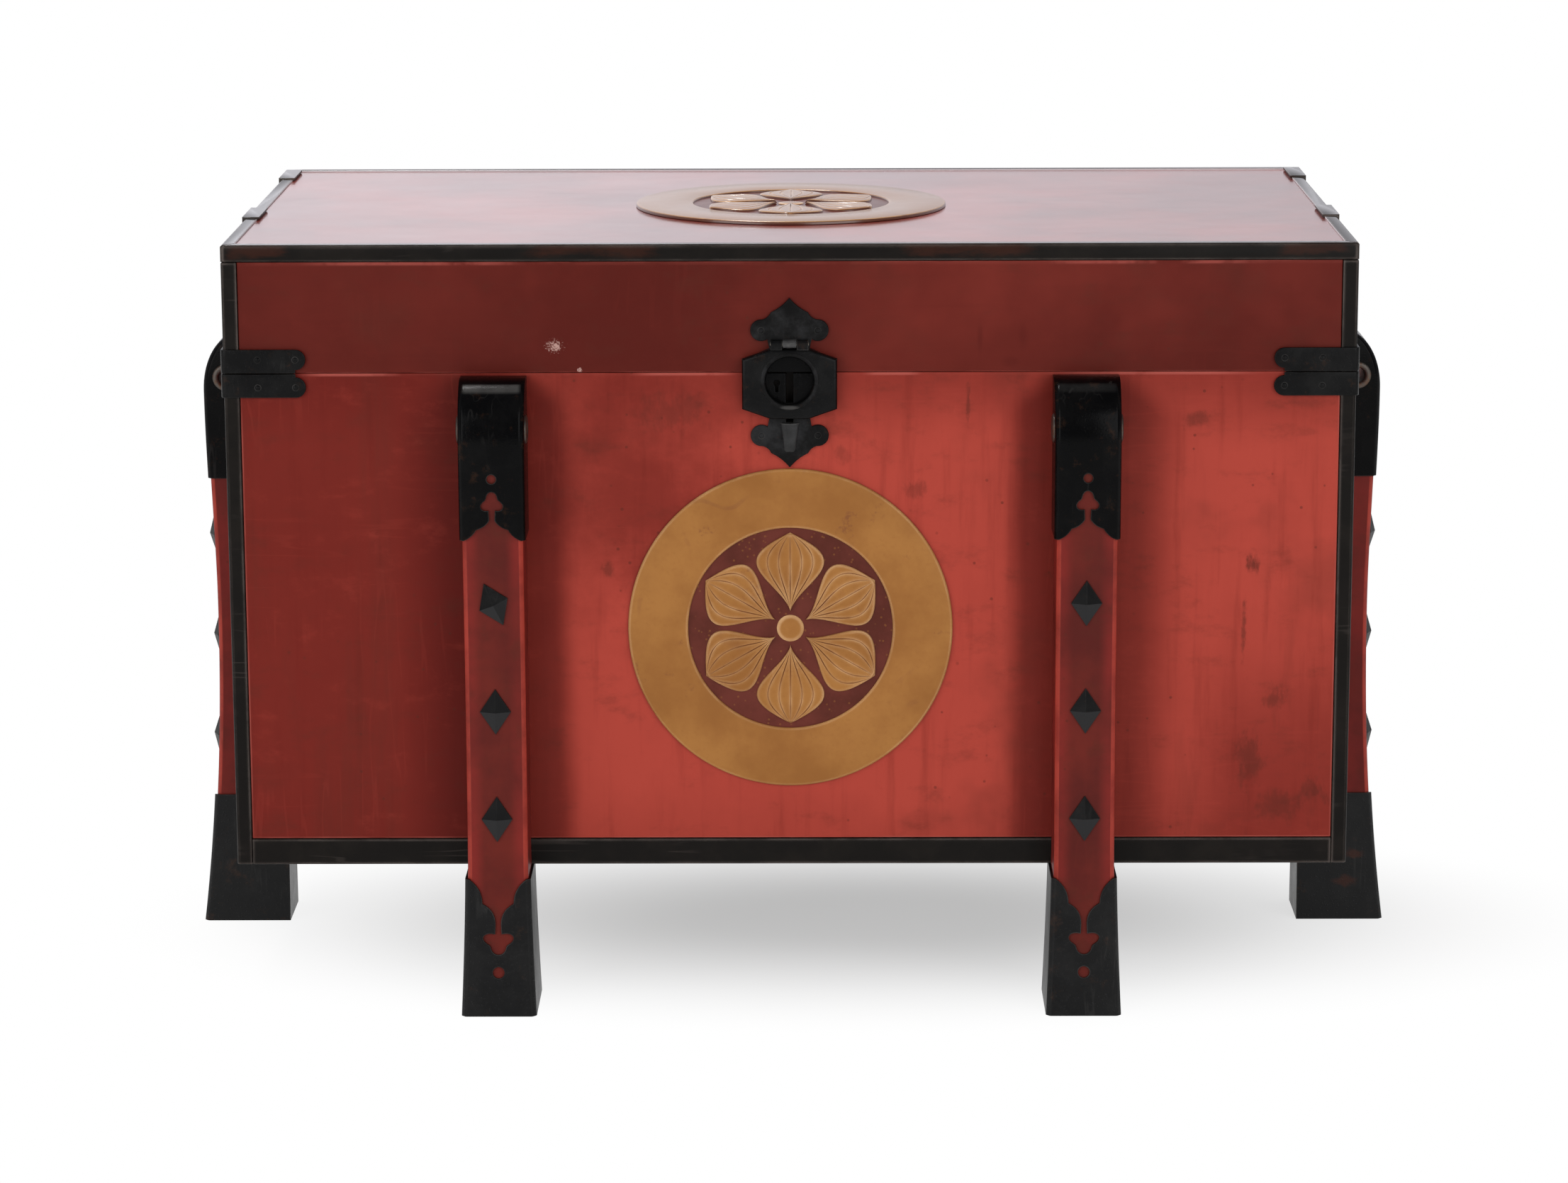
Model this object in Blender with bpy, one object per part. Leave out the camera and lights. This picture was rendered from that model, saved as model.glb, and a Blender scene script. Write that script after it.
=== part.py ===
"""Six-legged lacquer armor chest with a lift-off lid, in metres, +Z up, front towards -Y."""

import math

import bmesh
import bpy
from mathutils import Matrix, Vector

# Clearance between pieces that touch
GAP = 0.0003

# Box and lid boards
BOX_WIDTH = 0.660
BOX_DEPTH = 0.370
BOX_HEIGHT = 0.296
LID_HEIGHT = 0.0755
FLOOR_CLEARANCE = 0.0815
BOARD = 0.013
BOTTOM_BOARD = 0.010
BOTTOM_RAISE = 0.002
LID_TOP_BOARD = 0.009

# Strips inside the box that locate the lid
LIP = 0.007
LIP_RISE = 0.012
LIP_DROP = 0.030
LIP_CHAMFER = 0.0025

# Black edge strips, proud of the red boards
PROUD = 0.001
TRIM = 0.003
TRIM_WIDTH = 0.009
TRIM_CHAMFER = 0.001
TOP_TRIM_WIDTH = 0.0075
RAIL_HEIGHT = 0.0155

# Legs: reach is measured outward from the red boards, heights from the floor
LEG_SPREAD = 0.1725
LEG_WIDTH = 0.0355
LEG_FOOT_WIDTH = 0.0415
LEG_FLARE_HEIGHT = 0.095
LEG_FOOT_REACH = 0.0425
LEG_WAIST_REACH = 0.0307
LEG_SHOULDER_REACH = 0.0340
LEG_CROWN_REACH = 0.0120
LEG_WAIST_HEIGHT = 0.200
LEG_SHOULDER_HEIGHT = 0.340
LEG_CROWN_RISE = 0.0345
LEG_CHAMFER = 0.0025
LEG_FOOT_POWER = 2.2
LEG_FLARE_POWER = 1.5
LEG_FLARE_STEPS = 4
CROWN_STEPS = 6
FOOT_UNDER_BOX = 0.008

# Sheet metal on the legs
SHEET = 0.0012
CAP_HEIGHT = 0.0900
CAP_NOTCH = 0.0120
CAP_NECK = 0.0065
CAP_LEAF_WIDTH = 0.0130
CAP_LEAF_HEIGHT = 0.0105
CAP_DOT_RISE = 0.0365
CAP_DOT = 0.0055
SHOE_HEIGHT = 0.0815
SHOE_NOTCH = 0.0265
SHOE_NECK = 0.0065
SHOE_LEAF_WIDTH = 0.0180
SHOE_LEAF_HEIGHT = 0.0120
SHOE_DOT_RISE = 0.0555
SHOE_DOT = 0.0070
NECK_WIDTH = 0.0032
PRONG_WIDTH = 0.0024
NOTCH_CUSP = 0.55
NOTCH_BOW = 0.08
LEAF_LOBE = 0.26
LEAF_STEPS = 12

# Cord eyelets through the leg heads
EYELET_REACH = 0.0210
EYELET_DROP = 0.0265
EYELET_BORE = 0.0090
EYELET_WALL = 0.0012
EYELET_FLANGE = 0.0170
EYELET_RIM = 0.0014

# Diamond studs
STUD_WIDTH = 0.0180
STUD_LENGTH = 0.0270
STUD_EDGE = 0.0010
STUD_RISE = 0.0048
STUD_TOP_HEIGHT = 0.2465
STUD_STEP = 0.0645
STUD_COUNT = 3
LOOSE_STUD_TURN = math.radians(24)

# Corner plates and lid edge plates
BRACKET_RUN = 0.0480
BRACKET_HEIGHT = 0.0140
BRACKET_NOTCH = 0.0025
MOUNT_LENGTH = 0.0460
MOUNT_WIDTH = 0.0090
MOUNT_MID = -0.0450
MOUNT_BACK = 0.1500

# Lock: heights from its middle, which lies a little below the lid seam
LOCK_DROP = 0.0060
LOCK_PLATE = 0.0020
PLATE_HALF = 0.0250
HINGE_UP = 0.0235
NECK_HALF = 0.0118
LOBE_RISE = 0.0075
LOBE_OUT = 0.0165
LOBE_RADIUS = 0.0063
LOBE_START = -125
LOBE_END = 95
FLEURON_SHOULDER = 0.0108
FLEURON_SHOULDER_RISE = 0.0180
FLEURON_RISE = 0.0265
FLEURON_BOW = 0.0008
HASP = 0.0050
HASP_HALF = 0.0277
HASP_SHOULDER = 0.0147
HASP_END_HALF = 0.0110
HASP_BEVEL = 0.0018
HASP_HINGE_SPACE = 0.0005
WINDOW_RADIUS = 0.0135
WINDOW_RAISE = 0.0020
WINDOW_FLARE = 0.0014
KNUCKLE = 0.0080
PIN_RADIUS = 0.0012
PIN_CLEAR = 0.0002
RIDGE_WIDTH = 0.0120
RIDGE_RISE = 0.0024
RIDGE_LENGTH = 0.0170
RIDGE_TAPER = 0.4
BOLT = 0.0036
BOLT_LENGTH = 0.0140
BOLT_TRAVEL = 0.0080
BOLT_DEPTH = 0.0045
STAPLE = 0.0030
STAPLE_WALL = 0.0021
STAPLE_CLEAR = 0.0006
EYE_CLEAR = 0.0005
KEYHOLE_OUT = 0.0075
KEYHOLE_RADIUS = 0.0017
KEYHOLE_SLIT = 0.0015
KEYHOLE_DROP = 0.0051
TALON = 0.0011

# Medallions
CREST_RADIUS = 0.0955
CREST_INNER = 0.0602
CREST_RISE = 0.0020
CREST_GROUND = 0.0007
CREST_CHAMFER = 0.0008
CREST_UNDER_LOCK = 0.0008
PETAL_COUNT = 6
PETAL_START = 0.0100
PETAL_END = 0.0575
PETAL_WIDTH = 0.0400
PETAL_SKEW = 1.5
PETAL_STEPS = 10
BOSS_RADIUS = 0.0080

# Fineness of curves, and the sharpest bend that is shaded smooth
ARC_STEPS = 8
BOW_STEPS = 3
CREST_STEPS = 64
BOSS_STEPS = 20
WINDOW_STEPS = 28
BORE_STEPS = 16
PIN_STEPS = 12
DOT_STEPS = 10
SMOOTH_BEND = math.radians(32)

# Places worked out from the sizes above
SEAM = FLOOR_CLEARANCE + BOX_HEIGHT
LID_LOW = SEAM + GAP
LID_TOP = SEAM + LID_HEIGHT
RAIL_TOP = FLOOR_CLEARANCE + RAIL_HEIGHT
TRIM_BAND = LID_TOP_BOARD + PROUD
BAND_LOW = LID_TOP - TRIM_BAND
FRONT_FACE = BOX_DEPTH / 2 - PROUD
SIDE_FACE = BOX_WIDTH / 2 - PROUD
INNER_DEPTH = FRONT_FACE - BOARD
INNER_WIDTH = SIDE_FACE - BOARD
LEG_TOP = LEG_SHOULDER_HEIGHT + LEG_CROWN_RISE
LEG_START = SHEET + GAP
CAP_LOW = LEG_TOP - CAP_HEIGHT
EYELET_HEIGHT = LEG_TOP - EYELET_DROP
SKIN = GAP + SHEET
LOCK_HEIGHT = SEAM - LOCK_DROP
HINGE_HEIGHT = LOCK_HEIGHT + HINGE_UP
HASP_END = HINGE_UP - HASP / 2 - HASP_HINGE_SPACE
PLATE_FRONT = GAP + LOCK_PLATE
HASP_BACK = PLATE_FRONT + GAP
HINGE_OUT = HASP_BACK + HASP / 2
EYE = BOLT + 2 * EYE_CLEAR
STAPLE_HEIGHT = EYE + 2 * STAPLE_WALL
STAPLE_LOW = -HASP_END
BOLT_LEVEL = STAPLE_LOW + STAPLE_HEIGHT / 2
STAPLE_REACH = BOLT_DEPTH + EYE / 2 + STAPLE_WALL
STAPLE_SWING = math.hypot(HINGE_UP - STAPLE_LOW, HINGE_OUT + STAPLE_REACH)
SLOT_LOW = HINGE_UP - STAPLE_SWING - STAPLE_CLEAR
SLOT_HALF = STAPLE / 2 + STAPLE_CLEAR
BOLT_NOSE = -SLOT_HALF - GAP
CREST_HEIGHT = LOCK_HEIGHT - HINGE_UP - FLEURON_RISE - CREST_UNDER_LOCK - CREST_RADIUS

# Far enough outside the chest for a cutter to pass right through
BEYOND = BOX_WIDTH

LEGS = {
    "front_left": (Vector((-LEG_SPREAD, -FRONT_FACE, 0)), math.pi),
    "front_right": (Vector((LEG_SPREAD, -FRONT_FACE, 0)), math.pi),
    "back_left": (Vector((-LEG_SPREAD, FRONT_FACE, 0)), 0.0),
    "back_right": (Vector((LEG_SPREAD, FRONT_FACE, 0)), 0.0),
    "left": (Vector((-SIDE_FACE, 0, 0)), math.pi / 2),
    "right": (Vector((SIDE_FACE, 0, 0)), -math.pi / 2),
}

CORNERS = {
    "front_right": (Vector((BOX_WIDTH / 2, -BOX_DEPTH / 2, 0)), 0.0),
    "back_right": (Vector((BOX_WIDTH / 2, BOX_DEPTH / 2, 0)), math.pi / 2),
    "back_left": (Vector((-BOX_WIDTH / 2, BOX_DEPTH / 2, 0)), math.pi),
    "front_left": (Vector((-BOX_WIDTH / 2, -BOX_DEPTH / 2, 0)), -math.pi / 2),
}


def clear_scene():
    for item in list(bpy.data.objects):
        bpy.data.objects.remove(item)


def make_material(name, color, roughness, metallic=0.0):
    made = bpy.data.materials.new(name)
    made.use_nodes = True
    shader = made.node_tree.nodes["Principled BSDF"]
    shader.inputs["Base Color"].default_value = (*color, 1.0)
    shader.inputs["Roughness"].default_value = roughness
    shader.inputs["Metallic"].default_value = metallic
    return made


def make_mesh(points, faces):
    """Closed mesh from points and faces, with its normals turned outward."""
    shape = bmesh.new()
    corners = [shape.verts.new(point) for point in points]
    for face in faces:
        shape.faces.new([corners[index] for index in face])
    bmesh.ops.recalc_face_normals(shape, faces=shape.faces)
    made = bpy.data.meshes.new("shape")
    shape.to_mesh(made)
    shape.free()
    return made


def loft(rings):
    """Solid through rings of equally many points, closed by a flat face at both ends."""
    count = len(rings[0])
    points = [point for ring in rings for point in ring]
    faces = [list(range(count)), list(range(len(points) - count, len(points)))]
    for level in range(len(rings) - 1):
        for index in range(count):
            near = level * count + index
            near_next = level * count + (index + 1) % count
            faces.append((near, near_next, near_next + count, near + count))
    return make_mesh(points, faces)


def prism(outline, low, high):
    """Outline in the XY plane, raised from low to high along Z."""
    return loft([[(x, y, z) for x, y in outline] for z in (low, high)])


def panel(outline, back, front):
    """Outline of (x, z) points, thickened along Y from back to front."""
    return loft([[(x, y, z) for x, z in outline] for y in (back, front)])


def bar(section, half_length):
    """Section of (y, z) points, drawn out along X to both sides."""
    return loft([[(x, y, z) for y, z in section] for x in (-half_length, half_length)])


def block(low, high):
    outline = [(low[0], low[1]), (high[0], low[1]), (high[0], high[1]), (low[0], high[1])]
    return prism(outline, low[2], high[2])


def swept(stations):
    """Closed ring through stations of equally many points, the last one joined to the first."""
    count = len(stations[0])
    points = [point for station in stations for point in station]
    faces = []
    for step in range(len(stations)):
        here = step * count
        there = (step + 1) % len(stations) * count
        for index in range(count):
            after = (index + 1) % count
            faces.append((here + index, here + after, there + after, there + index))
    return make_mesh(points, faces)


def turned(profile, segments):
    """Ring turned about X from a closed profile of (radius, along) points."""
    angles = [2 * math.pi * step / segments for step in range(segments)]
    return swept([[(x, r * math.cos(a), r * math.sin(a)) for r, x in profile] for a in angles])


def framed(section, half_width, half_depth):
    """Rectangular frame with a section of (inset, z) points and mitred corners."""
    signs = ((-1, -1), (1, -1), (1, 1), (-1, 1))
    stations = []
    for across, along in signs:
        corner = [(across * (half_width - inset), along * (half_depth - inset), z) for inset, z in section]
        stations.append(corner)
    return swept(stations)


def circle(radius, segments, center=(0.0, 0.0)):
    angles = [2 * math.pi * step / segments for step in range(segments)]
    return [(center[0] + radius * math.cos(a), center[1] + radius * math.sin(a)) for a in angles]


def arc(center, radius, start, end, steps):
    """Points on a circle from one angle to another, in degrees."""
    angles = [math.radians(start + (end - start) * step / steps) for step in range(steps + 1)]
    return [(center[0] + radius * math.cos(a), center[1] + radius * math.sin(a)) for a in angles]


def bowed(start, end, bow, steps):
    """Points after start on a shallow curve to end, which bows to its left by the given depth."""
    run = Vector(end) - Vector(start)
    left = Vector((-run.y, run.x)).normalized()
    points = []
    for step in range(1, steps + 1):
        share = step / steps
        points.append(tuple(Vector(start) + run * share + left * 4 * bow * share * (1 - share)))
    return points


def mirrored(right_half):
    """Closed outline from its right half, listed from one end of the middle line to the other."""
    left_half = [(-x, y) for x, y in reversed(right_half) if x > 0]
    return right_half + left_half


def drawn_in(outline, distance):
    """Outline with every side moved inward by the same distance."""
    points = [Vector(point) for point in outline]
    area = sum(points[i - 1].cross(points[i]) for i in range(len(points)))
    sides = []
    for index, point in enumerate(points):
        run = (points[(index + 1) % len(points)] - point).normalized()
        sides.append(Vector((-run.y, run.x)) * math.copysign(1.0, area))
    inner = []
    for index, point in enumerate(points):
        inward = sides[index - 1] + sides[index]
        inner.append(tuple(point + inward * (2 * distance / inward.length_squared)))
    return inner


def moved(mesh, matrix):
    copy = mesh.copy()
    copy.transform(matrix)
    return copy


def grouped(meshes):
    """Several separate solids in one mesh."""
    shape = bmesh.new()
    for mesh in meshes:
        shape.from_mesh(mesh)
    made = bpy.data.meshes.new("group")
    shape.to_mesh(made)
    shape.free()
    return made


def evaluated(item):
    graph = bpy.context.evaluated_depsgraph_get()
    return bpy.data.meshes.new_from_object(item.evaluated_get(graph))


def combined(mesh, others, operation):
    """Mesh after Boolean steps with the other meshes, one after the other."""
    target = bpy.data.objects.new("target", mesh)
    bpy.context.scene.collection.objects.link(target)
    tools = []
    for other in others:
        tool = bpy.data.objects.new("tool", other)
        bpy.context.scene.collection.objects.link(tool)
        tools.append(tool)
        step = target.modifiers.new("step", "BOOLEAN")
        step.operation = operation
        step.solver = "EXACT"
        step.object = tool
    made = evaluated(target)
    for item in [target, *tools]:
        bpy.data.objects.remove(item)
    return made


def cut(mesh, *others):
    return combined(mesh, others, "DIFFERENCE")


def joined(mesh, *others):
    return combined(mesh, others, "UNION")


def bent_sheet(faces, thickness):
    """Sheet of the given thickness on flat faces that share an edge."""
    shape = bmesh.new()
    for face in faces:
        shape.faces.new([shape.verts.new(point) for point in face])
    bmesh.ops.remove_doubles(shape, verts=shape.verts, dist=GAP / 10)
    surface = bpy.data.meshes.new("sheet")
    shape.to_mesh(surface)
    shape.free()
    item = bpy.data.objects.new("sheet", surface)
    bpy.context.scene.collection.objects.link(item)
    solid = item.modifiers.new("thickness", "SOLIDIFY")
    solid.thickness = thickness
    solid.offset = 1.0
    solid.use_even_offset = True
    made = evaluated(item)
    bpy.data.objects.remove(item)
    return made


def place(name, mesh, material, at=(0, 0, 0), turn=0.0, parent=None, smooth=False):
    """Named object from a mesh of its own, turned about Z and set in place."""
    own = mesh.copy()
    own.name = name
    own.materials.clear()
    own.materials.append(material)
    if smooth:
        own.shade_smooth()
        own.set_sharp_from_angle(angle=SMOOTH_BEND)
    item = bpy.data.objects.new(name, own)
    item.location = Vector(at) - (parent.location if parent else Vector())
    item.rotation_euler = (0, 0, turn)
    item.parent = parent
    bpy.context.scene.collection.objects.link(item)
    return item


def make_pivot(name, at):
    pivot = bpy.data.objects.new(name, None)
    pivot.location = at
    bpy.context.scene.collection.objects.link(pivot)
    return pivot


def long_board_outline(face, end):
    """Plan of a front board, with both outer corners rebated for the corner trims."""
    run = TRIM_WIDTH + GAP
    floor = TRIM + GAP
    right = [
        (BOX_WIDTH / 2 - run, -face),
        (BOX_WIDTH / 2 - run, floor - BOX_DEPTH / 2),
        (BOX_WIDTH / 2 - floor, floor - BOX_DEPTH / 2),
        (BOX_WIDTH / 2 - floor, run - BOX_DEPTH / 2),
        (end, run - BOX_DEPTH / 2),
        (end, -INNER_DEPTH),
    ]
    return mirrored(right)


def short_board_outline(face):
    """Plan of a right-hand board, which stands between the front and back boards."""
    half = INNER_DEPTH - GAP
    return [(INNER_WIDTH, -half), (face, -half), (face, half), (INNER_WIDTH, half)]


def staple_pocket():
    """Slot for the staple, race for the bolt and way for the key, let into the front board."""
    level = LOCK_HEIGHT + BOLT_LEVEL
    face = -FRONT_FACE - GAP
    slot = block(
        (-SLOT_HALF, face, LOCK_HEIGHT + SLOT_LOW),
        (SLOT_HALF, STAPLE_REACH + STAPLE_CLEAR - FRONT_FACE, SEAM + GAP),
    )
    race = block(
        (BOLT_NOSE - BOLT_LENGTH - GAP, face, level - BOLT / 2 - GAP),
        (BOLT_NOSE + BOLT_TRAVEL + GAP, BOLT_DEPTH + BOLT / 2 + GAP - FRONT_FACE, level + BOLT / 2 + GAP),
    )
    keyway = block(
        (-KEYHOLE_OUT - 2 * KEYHOLE_RADIUS, face, level),
        (-KEYHOLE_OUT + 2 * KEYHOLE_RADIUS, BOLT_DEPTH - FRONT_FACE, LOCK_HEIGHT + 2 * KEYHOLE_RADIUS),
    )
    return slot, race, keyway


def build_boards(red, dark):
    long_plan = long_board_outline(FRONT_FACE, SIDE_FACE)
    short_plan = short_board_outline(SIDE_FACE)
    long_box = prism(long_plan, RAIL_TOP + GAP, SEAM)
    short_box = prism(short_plan, RAIL_TOP + GAP, SEAM)
    place("front_board", cut(long_box, *staple_pocket()), red)
    place("back_board", long_box, red, turn=math.pi)
    place("right_board", short_box, red)
    place("left_board", short_box, red, turn=math.pi)
    low = FLOOR_CLEARANCE + BOTTOM_RAISE
    half = Vector((INNER_WIDTH - GAP, INNER_DEPTH - GAP, 0))
    place("bottom_board", block(-half, half + Vector((0, 0, BOTTOM_BOARD))), dark, at=(0, 0, low))


def build_lip(dark):
    """Frame glued inside the box; its chamfered top guides the lid down."""
    section = [
        (0, -LIP_DROP),
        (LIP, -LIP_DROP),
        (LIP, LIP_RISE),
        (LIP_CHAMFER, LIP_RISE),
        (0, LIP_RISE - LIP_CHAMFER),
    ]
    place("lid_lip", framed(section, INNER_WIDTH - GAP, INNER_DEPTH - GAP), dark, at=(0, 0, SEAM))


def corner_trim(low, high):
    """Angle strip round an upright corner, whose outer edge lies on the local Z axis."""
    outline = [
        (-TRIM_WIDTH, 0),
        (-TRIM_CHAMFER, 0),
        (0, TRIM_CHAMFER),
        (0, TRIM_WIDTH),
        (-TRIM, TRIM_WIDTH),
        (-TRIM, TRIM),
        (-TRIM_WIDTH, TRIM),
    ]
    return prism(outline, low, high)


def build_box_trims(black):
    strip = corner_trim(FLOOR_CLEARANCE, SEAM)
    for name, (corner, turn) in CORNERS.items():
        place("corner_trim_" + name, strip, black, at=corner, turn=turn)
    long_rail = prism(long_board_outline(BOX_DEPTH / 2, BOX_WIDTH / 2), FLOOR_CLEARANCE, RAIL_TOP)
    short_rail = prism(short_board_outline(BOX_WIDTH / 2), FLOOR_CLEARANCE, RAIL_TOP)
    place("base_rail_front", long_rail, black)
    place("base_rail_back", long_rail, black, turn=math.pi)
    place("base_rail_right", short_rail, black)
    place("base_rail_left", short_rail, black, turn=math.pi)


def leg_reach(height, grow):
    """How far the leg's front stands out at a height, for a skin that is thicker by grow."""
    if height <= LEG_WAIST_HEIGHT:
        share = (LEG_WAIST_HEIGHT - height) / LEG_WAIST_HEIGHT
        return LEG_WAIST_REACH + (LEG_FOOT_REACH - LEG_WAIST_REACH) * share ** LEG_FOOT_POWER + grow
    if height <= LEG_SHOULDER_HEIGHT:
        share = (height - LEG_WAIST_HEIGHT) / (LEG_SHOULDER_HEIGHT - LEG_WAIST_HEIGHT)
        eased = share * share * (3 - 2 * share)
        return LEG_WAIST_REACH + (LEG_SHOULDER_REACH - LEG_WAIST_REACH) * eased + grow
    share = min(1.0, (height - LEG_SHOULDER_HEIGHT) / (LEG_CROWN_RISE + grow))
    across = LEG_SHOULDER_REACH - LEG_CROWN_REACH + grow
    return LEG_CROWN_REACH + across * math.sqrt(1 - share * share)


def leg_half_width(height, grow):
    share = max(0.0, 1 - height / LEG_FLARE_HEIGHT)
    return LEG_WIDTH / 2 + (LEG_FOOT_WIDTH - LEG_WIDTH) / 2 * share ** LEG_FLARE_POWER + grow


def leg_section(height, grow):
    """Level section of the leg: square at the back, chamfered at both front edges."""
    half = leg_half_width(height, grow)
    reach = leg_reach(height, grow)
    back = -FOOT_UNDER_BOX - PROUD - grow
    return [
        (-half, back, height),
        (half, back, height),
        (half, reach - LEG_CHAMFER, height),
        (half - LEG_CHAMFER, reach, height),
        (LEG_CHAMFER - half, reach, height),
        (-half, reach - LEG_CHAMFER, height),
    ]


def leg_heights(low, grow):
    """Heights of the sections from low up to the crown, shared by the leg and its sheet metal."""
    marks = [LEG_START, SHOE_HEIGHT, LEG_WAIST_HEIGHT, CAP_LOW, LEG_SHOULDER_HEIGHT]
    spacing = LEG_FLARE_HEIGHT / LEG_FLARE_STEPS
    heights = []
    for start, end in zip(marks, marks[1:]):
        steps = max(1, round((end - start) / spacing))
        heights += [start + (end - start) * step / steps for step in range(steps)]
    crown = [math.pi / 2 * step / CROWN_STEPS for step in range(CROWN_STEPS + 1)]
    heights += [LEG_SHOULDER_HEIGHT + (LEG_CROWN_RISE + grow) * math.sin(angle) for angle in crown]
    return [low] + [height for height in heights if height > low + GAP]


def leg_solid(low, high, grow):
    heights = [height for height in leg_heights(low, grow) if height < high - GAP] + [high]
    return loft([leg_section(height, grow) for height in heights])


def box_space():
    """What the box takes up behind a leg: the boards, and the base rail that the leg is notched over."""
    rail_face = PROUD + GAP
    section = [
        (-BEYOND, FLOOR_CLEARANCE - GAP),
        (rail_face, FLOOR_CLEARANCE - GAP),
        (rail_face, RAIL_TOP + GAP),
        (GAP, RAIL_TOP + GAP),
        (GAP, BEYOND),
        (-BEYOND, BEYOND),
    ]
    return bar(section, LEG_FOOT_WIDTH)


def eyelet_bore(spare):
    radius = EYELET_BORE / 2 + EYELET_WALL + spare
    return bar(circle(radius, BORE_STEPS, (EYELET_REACH, EYELET_HEIGHT)), LEG_FOOT_WIDTH)


def eyelet():
    """Flanged tube through the head of a leg, riveted over both cheeks of its cap."""
    inner = EYELET_BORE / 2
    outer = inner + EYELET_WALL
    flange = EYELET_FLANGE / 2
    cheek = LEG_WIDTH / 2 + SKIN - SHEET / 4
    end = LEG_WIDTH / 2 + SKIN + EYELET_RIM
    ease = EYELET_RIM / 2
    profile = [
        (inner, ease - end),
        (inner + ease, -end),
        (flange - ease, -end),
        (flange, ease - end),
        (flange, -cheek),
        (outer, -cheek),
        (outer, cheek),
        (flange, cheek),
        (flange, end - ease),
        (flange - ease, end),
        (inner + ease, end),
        (inner, end - ease),
    ]
    return moved(turned(profile, BORE_STEPS), Matrix.Translation((0, EYELET_REACH, EYELET_HEIGHT)))


def stud(height, slip):
    """Faceted diamond on the front of a leg, turned by slip, with its base let into the wood."""
    rim = [(STUD_WIDTH / 2, 0), (0, STUD_LENGTH / 2), (-STUD_WIDTH / 2, 0), (0, -STUD_LENGTH / 2)]
    points = [(x, y, z) for x, z in rim for y in (-STUD_EDGE, STUD_EDGE)] + [(0, STUD_RISE, 0)]
    faces = [(0, 2, 4, 6)]
    for side in range(4):
        low = 2 * side
        after = 2 * ((side + 1) % 4)
        faces.append((low, low + 1, after + 1, after))
        faces.append((low + 1, len(points) - 1, after + 1))
    low = leg_reach(height - STUD_LENGTH / 2, 0.0)
    high = leg_reach(height + STUD_LENGTH / 2, 0.0)
    lean = Matrix.Rotation(math.atan2(low - high, STUD_LENGTH), 4, "X")
    seat = Matrix.Translation((0, (low + high) / 2, height))
    return moved(make_mesh(points, faces), seat @ lean @ Matrix.Rotation(slip, 4, "Y"))


def leaf_curve(width, height):
    """Right half of a three-lobed leaf standing on the origin, from its foot to its tip."""
    points = []
    for step in range(LEAF_STEPS + 1):
        angle = math.radians(-90 + 180 * step / LEAF_STEPS)
        radius = 1 + LEAF_LOBE * math.cos(3 * angle - math.radians(270))
        points.append((radius * math.cos(angle), radius * math.sin(angle)))
    low = points[0][1]
    tall = points[-1][1] - low
    wide = max(x for x, _ in points)
    return [(x / wide * width / 2, (y - low) / tall * height) for x, y in points]


def pierced_notch(half, notch, neck, leaf_width, leaf_height, tail):
    """Outline of a scalloped notch that runs through a neck into a leaf, upward from its mouth at 0."""
    neck_half = NECK_WIDTH / 2
    cusp = ((half + neck_half) / 2, notch * NOTCH_CUSP)
    right = [(half, -tail), (half, 0)]
    right += bowed((half, 0), cusp, notch * NOTCH_BOW, BOW_STEPS)
    right += bowed(cusp, (neck_half, notch), notch * NOTCH_BOW, BOW_STEPS)
    leaf = [(x, y + notch + neck) for x, y in leaf_curve(leaf_width, leaf_height)]
    right += [(x, y) for x, y in leaf if x > neck_half or y > notch + neck + leaf_height / 2]
    tip = right[-1]
    right[-1] = (0.0, tip[1])
    return mirrored(right)


def sheet_cutters(outline, dot_height, dot, upward, base):
    """Cutters for the pierced front of a cap or shoe, which leave its cheeks whole."""
    back = LEG_WAIST_REACH - LEG_CHAMFER
    sign = 1 if upward else -1
    notch = panel([(x, base + sign * z) for x, z in outline], back, BEYOND)
    hole = panel(circle(dot / 2, DOT_STEPS, (0.0, base + sign * dot_height)), back, BEYOND)
    return notch, hole


def leg_wood():
    return cut(leg_solid(LEG_START, LEG_TOP, 0.0), box_space(), eyelet_bore(GAP))


def leg_cap():
    """Pierced sheet cap over the head of a leg, with its cord eyelet riveted in."""
    half = LEG_WIDTH / 2 + SKIN - PRONG_WIDTH
    outline = pierced_notch(half, CAP_NOTCH, CAP_NECK, CAP_LEAF_WIDTH, CAP_LEAF_HEIGHT, CAP_NOTCH)
    sheet = cut(
        leg_solid(CAP_LOW, LEG_TOP + SKIN, SKIN),
        leg_solid(SHOE_HEIGHT, LEG_TOP + GAP, GAP),
        box_space(),
        eyelet_bore(-EYELET_WALL / 2),
        *sheet_cutters(outline, CAP_DOT_RISE, CAP_DOT, True, CAP_LOW),
    )
    return joined(sheet, eyelet())


def foot_shoe():
    """Pierced sheet shoe round the foot of a leg, closed by a sole."""
    half = LEG_WIDTH / 2 + SKIN - PRONG_WIDTH
    outline = pierced_notch(half, SHOE_NOTCH, SHOE_NECK, SHOE_LEAF_WIDTH, SHOE_LEAF_HEIGHT, SHOE_NOTCH)
    return cut(
        leg_solid(0.0, SHOE_HEIGHT, SKIN),
        leg_solid(SHEET, CAP_LOW, GAP),
        box_space(),
        *sheet_cutters(outline, SHOE_DOT_RISE, SHOE_DOT, False, SHOE_HEIGHT),
    )


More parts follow.
